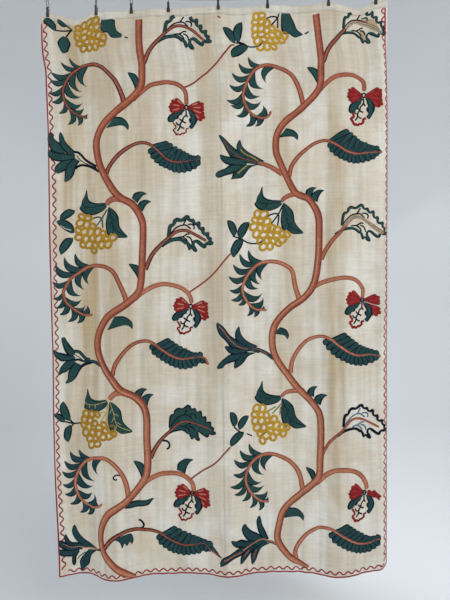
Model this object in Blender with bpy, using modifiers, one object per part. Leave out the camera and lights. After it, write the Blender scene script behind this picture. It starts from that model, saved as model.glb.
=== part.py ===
# Crewel-work hanging: two loom widths of cotton and linen cloth joined down the middle,
# a plain heading band sewn along their top, and the eight black clips that it hangs from.
# Metres, +Z up. X runs across the panel and the worked face looks towards -Y.
# The origin is on the line of the ring centres, at the middle of the top edge.

from collections import namedtuple
from math import atan2, exp, radians, sqrt

import bpy
from mathutils import Matrix

# The cloth laid flat: u runs from the left selvedge, v runs down from the top edge
PANEL_WIDTH = 1.187
PANEL_LENGTH = 1.947
SEAM_U = 0.602
HEADING_DEPTH = 0.025
CLOTH = 0.0015
GAP = 0.0003

# Hanging: where the top corner stands, how the right edge comes in, and the uneven hem
TOP_RIGHT_X = 0.5865
RIGHT_EDGE_SPREADS = 0.008
SPREAD_FULL_V = 0.40
RIGHT_EDGE_COMES_IN = 0.0300
HEM_RISE_TO_RIGHT = 0.021
CORNER_LIFT = 0.014
CORNER_REACH = 0.055
SAG_REACH = 0.22

# Spacing of the facets
COLUMN_STEP = 0.024
SEAM_COLUMN = 0.006
ROWS = 20
FINE_STEP = 0.003

# Clip, in its side view: y is the depth from the middle of the cloth, z the height above the lips
CLIP_WIDTH = 0.011
CLIP_TOP_SHARE = 0.62
LIP_OVERLAP = 0.012
LIP_INNER = CLOTH / 2 + GAP
LIP_OUTER = LIP_INNER + 0.0009
BAR_BOTTOM = 0.0175
BAR_TOP = 0.0220
LEVER_TOP = 0.0310
EYE_HEIGHT = 0.0320
EYE_RADIUS = 0.0034
EYE_WIRE = 0.0009
NECK_RADIUS = 0.0011
GRIP_HALF = 0.009

# Ring
RING_RADIUS = 0.0147
RING_WIRE = 0.0013

# The eye hangs on the inside of the ring's lowest stretch of wire
RING_ABOVE_LIPS = EYE_HEIGHT + EYE_RADIUS - EYE_WIRE - RING_WIRE - GAP + RING_RADIUS
TOP_EDGE_Z = LIP_OVERLAP - RING_ABOVE_LIPS

Clip = namedtuple("Clip", "u ring_turn_deg")
CLIPS = [
    Clip(0.025, 5),
    Clip(0.195, 26),
    Clip(0.318, -6),
    Clip(0.446, 9),
    Clip(0.616, 4),
    Clip(0.784, -5),
    Clip(0.989, 8),
    Clip(1.149, -7),
]

# The top edge between one clip and the next: how far it sags, where along the gap it is lowest,
# how sharp the dip is (1 is a V), and how far the cloth stands forward there
Swag = namedtuple("Swag", "sag lowest_at power forward")
SWAGS = [
    Swag(0.019, 0.60, 1.10, -0.012),
    Swag(0.007, 0.50, 2.0, 0.008),
    Swag(0.001, 0.50, 2.0, 0.007),
    Swag(0.002, 0.60, 2.0, 0.006),
    Swag(0.003, 0.42, 1.6, -0.006),
    Swag(0.005, 0.60, 1.8, -0.005),
    Swag(0.020, 0.66, 1.4, -0.012),
]
LEFT_CORNER_DROOP = 0.010
RIGHT_CORNER_RISE = 0.002
SWAG_FADE = 0.35

# Soft folds that run down the cloth: place and half width at the top and at the hem, and how far
# each stands forward at the top, at a third and two thirds of the way down, and at the hem
Fold = namedtuple("Fold", "top_u hem_u top_half hem_half d0 d1 d2 d3")
FOLDS = [
    Fold(0.000, 0.000, 0.030, 0.030, 0.000, 0.002, 0.002, 0.010),
    Fold(0.045, 0.045, 0.030, 0.030, 0.000, 0.004, 0.011, 0.000),
    Fold(0.100, 0.095, 0.040, 0.045, 0.000, 0.000, -0.004, -0.014),
    Fold(0.240, 0.222, 0.045, 0.080, 0.000, 0.012, 0.020, 0.039),
    Fold(0.365, 0.345, 0.035, 0.045, 0.000, 0.009, 0.009, 0.000),
    Fold(0.608, 0.618, 0.045, 0.070, 0.004, 0.018, 0.024, 0.027),
    Fold(0.785, 0.775, 0.040, 0.045, 0.000, 0.010, 0.010, 0.000),
    Fold(0.995, 0.998, 0.050, 0.085, 0.000, 0.018, 0.028, 0.038),
]

# The right selvedge curls back towards the wall
CURL_REACH = 0.042
CURL_DEPTH = 0.026
CURL_FROM_V = 0.06
CURL_FULL_V = 0.20
STEEPEST = 0.97


def clear_scene():
    for thing in list(bpy.data.objects):
        bpy.data.objects.remove(thing, do_unlink=True)


def principled(name, colour, roughness, metallic=0.0):
    material = bpy.data.materials.new(name)
    material.use_nodes = True
    shader = material.node_tree.nodes["Principled BSDF"]
    shader.inputs["Base Color"].default_value = (*colour, 1.0)
    shader.inputs["Roughness"].default_value = roughness
    shader.inputs["Metallic"].default_value = metallic
    return material


def smooth(value):
    share = min(1.0, max(0.0, value))
    return share * share * (3.0 - 2.0 * share)


def drop_share(v):
    """0 down to the heading's seam, 1 at the hem."""
    return max(0.0, v - HEADING_DEPTH) / (PANEL_LENGTH - HEADING_DEPTH)


def fold_depth(fold, share):
    levels = (fold.d0, fold.d1, fold.d2, fold.d3)
    step = min(2, int(share * 3))
    return levels[step] + (levels[step + 1] - levels[step]) * smooth(share * 3 - step)


def free_forward(u, v):
    """How far the cloth stands forward of the plane of the clips, before the clips flatten it."""
    share = drop_share(v)
    total = 0.0
    for fold in FOLDS:
        centre = fold.top_u + (fold.hem_u - fold.top_u) * share
        half = fold.top_half + (fold.hem_half - fold.top_half) * share
        total += fold_depth(fold, share) * exp(-(((u - centre) / half) ** 2))
    swag_strength = 1.0 - smooth(share / SWAG_FADE)
    for swag, left, right in zip(SWAGS, CLIPS, CLIPS[1:]):
        gap = right.u - left.u
        centre = left.u + gap * swag.lowest_at
        total += swag_strength * swag.forward * exp(-(((u - centre) / (gap * 0.27)) ** 2))
    into_curl = max(0.0, u - (PANEL_WIDTH - CURL_REACH)) / CURL_REACH
    curl = smooth((v - CURL_FROM_V) / (CURL_FULL_V - CURL_FROM_V))
    return total - curl * CURL_DEPTH * into_curl ** 1.6


def forward(u, v):
    """As free_forward, with the cloth flat where a clip's lips hold it."""
    hold = 1.0 - smooth((v - HEADING_DEPTH) / 0.06)
    if hold > 0.0:
        for clip in CLIPS:
            if abs(u - clip.u) < GRIP_HALF:
                near, far = clip.u - GRIP_HALF, clip.u + GRIP_HALF
                chord = free_forward(near, v)
                chord += (free_forward(far, v) - chord) * (u - near) / (far - near)
                return hold * chord + (1.0 - hold) * free_forward(u, v)
    return free_forward(u, v)


def sag(u):
    """How far the top edge hangs below the line of the clips."""
    first, last = CLIPS[0].u - GRIP_HALF, CLIPS[-1].u + GRIP_HALF
    if u < first:
        return LEFT_CORNER_DROOP * (first - u) / first
    if u > last:
        return -RIGHT_CORNER_RISE * (u - last) / (PANEL_WIDTH - last)
    for swag, left, right in zip(SWAGS, CLIPS, CLIPS[1:]):
        start, end = left.u + GRIP_HALF, right.u - GRIP_HALF
        if start < u < end:
            along = (u - start) / (end - start)
            reach = swag.lowest_at if along < swag.lowest_at else 1.0 - swag.lowest_at
            return swag.sag * (1.0 - abs((along - swag.lowest_at) / reach) ** swag.power)
    return 0.0


def height(u, v):
    share = drop_share(v)
    z = TOP_EDGE_Z - v - sag(u) * exp(-v / SAG_REACH)
    z += HEM_RISE_TO_RIGHT * share * u / PANEL_WIDTH
    corner = smooth((u - PANEL_WIDTH + CORNER_REACH) / CORNER_REACH)
    return z + CORNER_LIFT * corner * smooth((share - 0.94) / 0.06)


def across(columns, v):
    """X of each column at drop v: the cloth keeps its width, so folds draw the left edge in."""
    x = TOP_RIGHT_X + RIGHT_EDGE_SPREADS * smooth(v / SPREAD_FULL_V)
    x -= RIGHT_EDGE_COMES_IN * drop_share(v)
    u = PANEL_WIDTH
    places = {}
    for column in sorted(columns, reverse=True):
        steps = max(1, round((u - column) / FINE_STEP))
        step = (u - column) / steps
        for _ in range(steps):
            rise = forward(u, v) - forward(u - step, v)
            slope = min(STEEPEST, abs(rise) / step) if step else 0.0
            x -= step * sqrt(1.0 - slope * slope)
            u -= step
        u = column
        places[column] = x
    return places


def column_places():
    """Even columns, with extra ones beside each clip and beside the seam."""
    special = [0.0, PANEL_WIDTH]
    for clip in CLIPS:
        special += [clip.u - GRIP_HALF, clip.u + GRIP_HALF]
    special += [SEAM_U - SEAM_COLUMN, SEAM_U + SEAM_COLUMN]
    count = round(PANEL_WIDTH / COLUMN_STEP)
    even = [PANEL_WIDTH * number / count for number in range(count + 1)]
    clear_of = COLUMN_STEP * 0.4
    even = [u for u in even if all(abs(u - other) > clear_of for other in special)]
    held = [u for u in even if all(abs(u - clip.u) > GRIP_HALF for clip in CLIPS)]
    return sorted(special + held)


def cloth_piece(name, columns, rows, material, collection):
    """An open grid laid on the hung surface and thickened into a sheet."""
    bpy.ops.mesh.primitive_grid_add(
        x_subdivisions=len(columns) - 1, y_subdivisions=len(rows) - 1, size=1.0
    )
    sheet = bpy.context.active_object
    sheet.name = name
    spots = [across(columns, v) for v in rows]
    for vertex in sheet.data.vertices:
        column = round((vertex.co.x + 0.5) * (len(columns) - 1))
        row = round((0.5 - vertex.co.y) * (len(rows) - 1))
        u, v = columns[column], rows[row]
        vertex.co = (spots[row][u], -forward(u, v), height(u, v))
    thicken = sheet.modifiers.new("Thickness", "SOLIDIFY")
    thicken.thickness = CLOTH
    thicken.offset = 0.0
    sheet.data.materials.append(material)
    sheet.data.shade_smooth()
    move_to(sheet, collection)
    return sheet


def move_to(thing, collection):
    for owner in list(thing.users_collection):
        owner.objects.unlink(thing)
    collection.objects.link(thing)


def clip_outline():
    """Side view of the clip: two jaws and two levers, joined by a crossbar."""
    half = [
        (LIP_INNER, 0.0),
        (LIP_OUTER, 0.0),
        (LIP_OUTER, 0.0040),
        (0.0037, 0.0105),
        (0.0045, 0.0180),
        (0.0052, 0.0215),
        (0.0072, LEVER_TOP),
        (0.0062, LEVER_TOP + 0.0003),
        (0.0042, BAR_TOP),
    ]
    inside = [(0.0035, BAR_BOTTOM), (0.0027, 0.0105), (LIP_INNER, 0.0045)]
    back = half + [(-y, z) for y, z in reversed(half)]
    return back + [(-y, z) for y, z in reversed(inside)] + inside


def clip_body():
    """The outline as a flat curve, made CLIP_WIDTH thick and narrowed towards the levers."""
    curve = bpy.data.curves.new("clip_outline", "CURVE")
    curve.dimensions = "2D"
    curve.fill_mode = "BOTH"
    curve.extrude = CLIP_WIDTH / 2
    points = clip_outline()
    line = curve.splines.new("POLY")
    line.points.add(len(points) - 1)
    for point, (y, z) in zip(line.points, points):
        point.co = (y, z, 0.0, 1.0)
    line.use_cyclic_u = True
    flat = bpy.data.objects.new("clip_outline", curve)
    bpy.context.scene.collection.objects.link(flat)
    bpy.context.view_layer.update()
    evaluated = flat.evaluated_get(bpy.context.evaluated_depsgraph_get())
    mesh = bpy.data.meshes.new_from_object(evaluated)
    bpy.data.objects.remove(flat)
    mesh.transform(Matrix(((0, 0, 1, 0), (1, 0, 0, 0), (0, 1, 0, 0), (0, 0, 0, 1))))
    for vertex in mesh.vertices:
        rise = smooth((vertex.co.z - 0.008) / (BAR_TOP - 0.008))
        vertex.co.x *= 1.0 + (CLIP_TOP_SHARE - 1.0) * rise
    body = bpy.data.objects.new("clip_body", mesh)
    bpy.context.scene.collection.objects.link(body)
    weld(body)
    return body


def weld(thing):
    bpy.ops.object.select_all(action="DESELECT")
    thing.select_set(True)
    bpy.context.view_layer.objects.active = thing
    bpy.ops.object.mode_set(mode="EDIT")
    bpy.ops.mesh.select_all(action="SELECT")
    bpy.ops.mesh.remove_doubles(threshold=0.000001)
    bpy.ops.mesh.normals_make_consistent(inside=False)
    bpy.ops.object.mode_set(mode="OBJECT")


def clip_mesh():
    """Body, neck and eye in one mesh, with the middle of the lips' lower edge at the origin."""
    body = clip_body()
    neck_bottom = BAR_TOP - 0.0015
    neck_top = EYE_HEIGHT - EYE_RADIUS + EYE_WIRE * 0.2
    bpy.ops.mesh.primitive_cylinder_add(
        vertices=8,
        radius=NECK_RADIUS,
        depth=neck_top - neck_bottom,
        location=(0, 0, (neck_top + neck_bottom) / 2),
    )
    neck = bpy.context.active_object
    bpy.ops.mesh.primitive_torus_add(
        major_segments=16,
        minor_segments=6,
        major_radius=EYE_RADIUS,
        minor_radius=EYE_WIRE,
        location=(0, 0, EYE_HEIGHT),
        rotation=(radians(90), 0, 0),
    )
    eye = bpy.context.active_object
    for tool in (neck, eye):
        join = body.modifiers.new("Join", "BOOLEAN")
        join.operation = "UNION"
        join.object = tool
        join.solver = "EXACT"
    bpy.context.view_layer.update()
    evaluated = body.evaluated_get(bpy.context.evaluated_depsgraph_get())
    mesh = bpy.data.meshes.new_from_object(evaluated)
    mesh.name = "clip"
    for tool in (body, neck, eye):
        bpy.data.objects.remove(tool)
    return mesh


def ring_mesh():
    """The ring about its own centre, with its hole along X."""
    bpy.ops.mesh.primitive_torus_add(
        major_segments=20,
        minor_segments=6,
        major_radius=RING_RADIUS,
        minor_radius=RING_WIRE,
        rotation=(0, radians(90), 0),
    )
    ring = bpy.context.active_object
    bpy.ops.object.transform_apply(location=False, rotation=True, scale=False)
    mesh = ring.data.copy()
    mesh.name = "ring"
    bpy.data.objects.remove(ring)
    mesh.shade_smooth()
    return mesh


def add_clips_and_rings(material, collection):
    clip_shape, ring_shape = clip_mesh(), ring_mesh()
    for shape in (clip_shape, ring_shape):
        shape.materials.clear()
        shape.materials.append(material)
    ends = [clip.u + side for clip in CLIPS for side in (-GRIP_HALF, GRIP_HALF)]
    places = across(ends, 0.0)
    for number, clip in enumerate(CLIPS, start=1):
        near, far = clip.u - GRIP_HALF, clip.u + GRIP_HALF
        near_y, far_y = -forward(near, 0.0), -forward(far, 0.0)
        x = (places[near] + places[far]) / 2
        y = (near_y + far_y) / 2
        turn = atan2(far_y - near_y, places[far] - places[near])
        holder = bpy.data.objects.new(f"clip_{number}", clip_shape)
        holder.location = (x, y, -RING_ABOVE_LIPS)
        holder.rotation_euler = (0, 0, turn)
        ring = bpy.data.objects.new(f"ring_{number}", ring_shape)
        ring.location = (x, y, 0.0)
        ring.rotation_euler = (0, 0, radians(clip.ring_turn_deg))
        collection.objects.link(holder)
        collection.objects.link(ring)


def build():
    clear_scene()
    collection = bpy.data.collections.new("crewel_embroidery_panel")
    bpy.context.scene.collection.children.link(collection)
    cream = principled("unbleached_twill", (0.62, 0.56, 0.44), 0.85)
    heading_cream = principled("heading_linen", (0.64, 0.59, 0.49), 0.85)
    black = principled("black_enamelled_steel", (0.012, 0.012, 0.014), 0.4, 0.6)

    columns = column_places()
    left = [u for u in columns if u < SEAM_U] + [SEAM_U - GAP / 2]
    right = [SEAM_U + GAP / 2] + [u for u in columns if u > SEAM_U]
    first_row = HEADING_DEPTH + GAP
    drop = PANEL_LENGTH - first_row
    rows = [first_row + drop * number / ROWS for number in range(ROWS + 1)]
    cloth_piece("left_width", left, rows, cream, collection)
    cloth_piece("right_width", right, rows, cream, collection)
    cloth_piece("heading_band", columns, [0.0, HEADING_DEPTH], heading_cream, collection)
    add_clips_and_rings(black, collection)


build()
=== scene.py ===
# Crewel embroidery panel: two hung widths of cream cloth, the wool work on them and the clips that hold them
import math

import bpy
import numpy as np
from mathutils import Matrix, Vector


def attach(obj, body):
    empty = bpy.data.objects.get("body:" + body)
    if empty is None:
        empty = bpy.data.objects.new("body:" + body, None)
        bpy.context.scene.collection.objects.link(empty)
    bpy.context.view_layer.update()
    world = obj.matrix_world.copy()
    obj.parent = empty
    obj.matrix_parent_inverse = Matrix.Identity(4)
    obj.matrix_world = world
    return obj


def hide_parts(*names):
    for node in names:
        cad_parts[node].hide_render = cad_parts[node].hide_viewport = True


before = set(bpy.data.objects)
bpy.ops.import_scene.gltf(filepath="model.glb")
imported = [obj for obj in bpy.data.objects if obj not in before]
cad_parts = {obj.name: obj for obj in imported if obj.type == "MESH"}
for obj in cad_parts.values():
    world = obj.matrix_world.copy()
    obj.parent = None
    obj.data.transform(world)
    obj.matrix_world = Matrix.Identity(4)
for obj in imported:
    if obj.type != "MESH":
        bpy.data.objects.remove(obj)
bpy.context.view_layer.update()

print("frame loaded")

# The camera stands where the photograph was taken, a little right of the middle and level with it
camera = {
    "place": (0.0762, -1.5410, -1.0109),
    "yawPitchRoll": (1.951, -0.729, 1.061),  # degrees
    "lens": 27.04,  # mm on a 36 mm sensor
}


def addCamera(values):
    data = bpy.data.cameras.new("photoCamera")
    data.lens = values["lens"]
    data.sensor_width = 36.0
    data.clip_end = 60.0
    yaw, pitch, roll = (math.radians(angle) for angle in values["yawPitchRoll"])
    turn = Matrix.Rotation(yaw, 3, "Z") @ Matrix.Rotation(pitch, 3, "X")
    turn = turn @ Matrix.Rotation(roll, 3, "Y") @ Matrix.Rotation(math.radians(90), 3, "X")
    thing = bpy.data.objects.new("photoCamera", data)
    thing.matrix_world = Matrix.Translation(values["place"]) @ turn.to_4x4()
    bpy.context.scene.collection.objects.link(thing)
    bpy.context.scene.camera = thing


addCamera(camera)

# How the cloth hangs, with the values that shape the solids
# u runs from the left selvedge and v down from the top edge
drape = {
    "width": 1.187, "length": 1.947, "seam": 0.602, "heading": 0.025, "thickness": 0.0015, "gap": 0.0003,
    "topEdge": -0.0356, "topRight": 0.5865, "spreads": 0.008, "spreadFull": 0.40, "comesIn": 0.030,
    "hemRise": 0.021, "cornerLift": 0.014, "cornerReach": 0.055, "cornerFrom": 0.94, "sagReach": 0.22,
    "steepest": 0.97, "grid": (793, 218),  # points across and down, where the shape is worked out
    "clips": (0.025, 0.195, 0.318, 0.446, 0.616, 0.784, 0.989, 1.149), "grip": 0.009, "holdReach": 0.06,
    "swags": ((0.019, 0.60, 1.10, -0.012), (0.007, 0.50, 2.0, 0.008), (0.001, 0.50, 2.0, 0.007),
              (0.002, 0.60, 2.0, 0.006), (0.003, 0.42, 1.6, -0.006), (0.005, 0.60, 1.8, -0.005),
              (0.020, 0.66, 1.4, -0.012)),  # sag, where lowest, power, how far forward
    "leftDroop": 0.010, "rightRise": 0.002, "swagFade": 0.35,
    "swagBulge": 0.27,  # the bulge's reach, as a share of the space between two clips
    # place and half width at the top and at the hem, and depth at four heights
    "folds": ((0.000, 0.000, 0.030, 0.030, (0.000, 0.002, 0.002, 0.010)),
              (0.045, 0.045, 0.030, 0.030, (0.000, 0.004, 0.011, 0.000)),
              (0.100, 0.095, 0.040, 0.045, (0.000, 0.000, -0.004, -0.014)),
              (0.240, 0.222, 0.045, 0.080, (0.000, 0.012, 0.020, 0.039)),
              (0.365, 0.345, 0.035, 0.045, (0.000, 0.009, 0.009, 0.000)),
              (0.608, 0.618, 0.045, 0.070, (0.004, 0.018, 0.024, 0.027)),
              (0.785, 0.775, 0.040, 0.045, (0.000, 0.010, 0.010, 0.000)),
              (0.995, 0.998, 0.050, 0.085, (0.000, 0.018, 0.028, 0.038))),
    "curlReach": 0.042, "curlDepth": 0.026, "curlFrom": 0.06, "curlFull": 0.20, "curlPower": 1.6,
}


def smooth(value):
    share = np.clip(value, 0.0, 1.0)
    return share * share * (3.0 - 2.0 * share)


def dropShare(v):
    return np.maximum(0.0, v - drape["heading"]) / (drape["length"] - drape["heading"])


def freeForward(u, v):
    share = dropShare(v)
    total = 0.0
    step = np.minimum(2, (share * 3).astype(int))
    for topU, hemU, topHalf, hemHalf, depths in drape["folds"]:
        depths = np.array(depths)
        depth = depths[step] + (depths[step + 1] - depths[step]) * smooth(share * 3 - step)
        centre = topU + (hemU - topU) * share
        half = topHalf + (hemHalf - topHalf) * share
        total = total + depth * np.exp(-(((u - centre) / half) ** 2))
    strength = 1.0 - smooth(share / drape["swagFade"])
    for swag, left, right in zip(drape["swags"], drape["clips"], drape["clips"][1:]):
        centre = left + (right - left) * swag[1]
        bulge = (right - left) * drape["swagBulge"]
        total = total + strength * swag[3] * np.exp(-(((u - centre) / bulge) ** 2))
    into = np.maximum(0.0, u - (drape["width"] - drape["curlReach"])) / drape["curlReach"]
    curl = smooth((v - drape["curlFrom"]) / (drape["curlFull"] - drape["curlFrom"]))
    return total - curl * drape["curlDepth"] * into ** drape["curlPower"]


def heldForward(u, v):
    total = freeForward(u, v)
    hold = 1.0 - smooth((v - drape["heading"]) / drape["holdReach"])
    for clip in drape["clips"]:
        near, far = clip - drape["grip"], clip + drape["grip"]
        chord = freeForward(near, v)
        chord = chord + (freeForward(far, v) - chord) * (u - near) / (far - near)
        total = np.where(np.abs(u - clip) < drape["grip"], hold * chord + (1.0 - hold) * total, total)
    return total


def edgeSag(u):
    clips, grip = drape["clips"], drape["grip"]
    first, last = clips[0] - grip, clips[-1] + grip
    total = np.where(u < first, drape["leftDroop"] * (first - u) / first, 0.0)
    total = np.where(u > last, -drape["rightRise"] * (u - last) / (drape["width"] - last), total)
    for swag, left, right in zip(drape["swags"], clips, clips[1:]):
        start, end = left + grip, right - grip
        along = (u - start) / (end - start)
        reach = np.where(along < swag[1], swag[1], 1.0 - swag[1])
        dip = swag[0] * (1.0 - np.abs((along - swag[1]) / reach) ** swag[2])
        total = np.where((u > start) & (u < end), dip, total)
    return total


# Small creases of old cloth, mostly upright, and slanting pulls beside the last flower
wrinkleLook = {
    "depth": 0.0011, "seed": 11, "count": 16, "share": 0.30,
    "across": (0.035, 0.110), "down": (0.25, 0.90), "usual": 0.07,  # m from one crease to the next
    "from": 0.03, "full": 0.10,  # they start below the clips and the heading
    "pullAt": (0.985, 1.66), "pullReach": (0.13, 0.12), "pullDepth": 2.2,
    "pullFrom": (0.9, 1.6), "pullSlant": (0.75, 0.35), "pullApart": 0.038,
}


def wrinkles(u, v):
    dice = np.random.default_rng(wrinkleLook["seed"])
    total = 0.0
    for _ in range(wrinkleLook["count"]):
        across = dice.uniform(*wrinkleLook["across"])
        down = dice.uniform(*wrinkleLook["down"]) * dice.choice((-1, 1))
        wave = np.sin(2 * np.pi * (u / across + v / down) + dice.uniform(0, 6.3))
        total = total + wave * np.sqrt(across / wrinkleLook["usual"])
    (atU, atV), (reachU, reachV) = wrinkleLook["pullAt"], wrinkleLook["pullReach"]
    pulls = np.exp(-(((u - atU) / reachU) ** 2) - ((v - atV) / reachV) ** 2)
    (fromU, fromV), (slantU, slantV) = wrinkleLook["pullFrom"], wrinkleLook["pullSlant"]
    phase = ((u - fromU) * slantU - (v - fromV) * slantV) / wrinkleLook["pullApart"]
    total = total * wrinkleLook["share"] + wrinkleLook["pullDepth"] * pulls * np.sin(2 * np.pi * phase)
    return wrinkleLook["depth"] * total * smooth((v - wrinkleLook["from"]) / wrinkleLook["full"])


# The hung surface is worked out once on a grid, and all that lies on it is read from there
tableU = np.linspace(0.0, drape["width"], drape["grid"][0])
tableV = np.linspace(0.0, drape["length"], drape["grid"][1])


def hangCloth():
    u, v = np.meshgrid(tableU, tableV)
    ahead = heldForward(u, v)
    stepU = tableU[1]
    slope = np.minimum(drape["steepest"], np.abs(np.diff(ahead, axis=1)) / stepU)
    steps = stepU * np.sqrt(1.0 - slope * slope)
    fromRight = np.cumsum(steps[:, ::-1], axis=1)[:, ::-1]
    fromRight = np.concatenate([fromRight, np.zeros((len(tableV), 1))], axis=1)
    right = drape["topRight"] + drape["spreads"] * smooth(v / drape["spreadFull"])
    right = right - drape["comesIn"] * dropShare(v)
    z = drape["topEdge"] - v - edgeSag(u) * np.exp(-v / drape["sagReach"])
    z = z + drape["hemRise"] * dropShare(v) * u / drape["width"]
    corner = smooth((u - drape["width"] + drape["cornerReach"]) / drape["cornerReach"])
    low = smooth((dropShare(v) - drape["cornerFrom"]) / (1.0 - drape["cornerFrom"]))
    z = z + drape["cornerLift"] * corner * low
    places = np.stack([right - fromRight, -(ahead + wrinkles(u, v)), z], axis=-1)
    facing = np.cross(np.gradient(places, axis=0), np.gradient(places, axis=1))
    return places, facing / np.linalg.norm(facing, axis=-1, keepdims=True)


clothPlaces, clothFacing = hangCloth()


def onCloth(flat, lift):
    # flat is in mm on the cloth laid out; lift is in mm in front of the middle of the cloth
    u = np.clip(flat[..., 0] * 0.001, 0.0, drape["width"]) / tableU[1]
    v = np.clip(flat[..., 1] * 0.001, 0.0, drape["length"]) / tableV[1]
    i = np.clip(u.astype(int), 0, len(tableU) - 2)
    j = np.clip(v.astype(int), 0, len(tableV) - 2)
    a, b = (u - i)[..., None], (v - j)[..., None]

    def mix(table):
        upper = table[j, i] * (1 - a) + table[j, i + 1] * a
        lower = table[j + 1, i] * (1 - a) + table[j + 1, i + 1] * a
        return upper * (1 - b) + lower * b

    return mix(clothPlaces) + mix(clothFacing) * (np.asarray(lift) * 0.001)[..., None]


print("cloth hung")

# Colours and the one function that adds a node


def linear(hexColour):
    parts = [int(hexColour[i:i + 2], 16) / 255 for i in (1, 3, 5)]
    return tuple(p / 12.92 if p <= 0.04045 else ((p + 0.055) / 1.055) ** 2.4 for p in parts) + (1.0,)


def addNode(tree, kind, settings=None, links=None, **choices):
    node = tree.nodes.new(kind)
    for choice, value in choices.items():
        setattr(node, choice, value)
    for socket, value in (settings or {}).items():
        node.inputs[socket].default_value = value
    for socket, source in (links or {}).items():
        tree.links.new(source, node.inputs[socket])
    return node


def setRamp(node, stops):
    ramp = node.color_ramp
    while len(ramp.elements) > 1:
        ramp.elements.remove(ramp.elements[-1])
    for number, (place, colour) in enumerate(stops):
        stop = ramp.elements[0] if number == 0 else ramp.elements.new(place)
        stop.position = place
        stop.color = linear(colour) if isinstance(colour, str) else colour
    return node


def startMaterial(name):
    material = bpy.data.materials.new(name)
    material.use_nodes = True
    tree = material.node_tree
    return material, tree, tree.nodes["Principled BSDF"]


# Crewel wool: a loosely twisted two-ply yarn in chain stitch, so it is matt, hairy and catches no sharp light
wool = {
    "navy": "#081826", "green": "#2B504E", "pine": "#2A4D4F", "rust": "#8C4334", "salmon": "#AF6850",
    "coral": "#C07A5D", "apricot": "#D09270", "brick": "#A05340",
    "gold": "#B4892B", "yellow": "#CBA036", "red": "#9E2A2A", "maroon": "#6B151A", "rose": "#AE3A46",
    "pink": "#CE8A76", "edging": "#982B3C", "cream": "#E4DAC6", "beige": "#C7AE8C", "slate": "#5F7E92",
    "straw": "#BFAE62", "olive": "#8B8A3E", "deep": "#274A50",
}
woolLook = {
    "stitch": 0.0060,  # m, one chain stitch
    "roughness": 0.92, "sheen": 0.25, "sheenRoughness": 0.5, "shine": 0.06, "bump": 0.35,
    "slope": 0.9,  # how far the two sides of a loop lean along the row
    "fading": 0.16, "paler": 1.6, "deeper": 1.3, "bloom": 0.012,  # how much lighter and darker it runs
    "lengths": 0.35, "fibres": 0.30,  # how much one length of wool differs, and how rough its hairs are
    "paintedGrooveShade": 0.42, "paintedStitchShade": 0.30,  # painted shade in the grooves between the rows, and between the stitches
}


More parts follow.
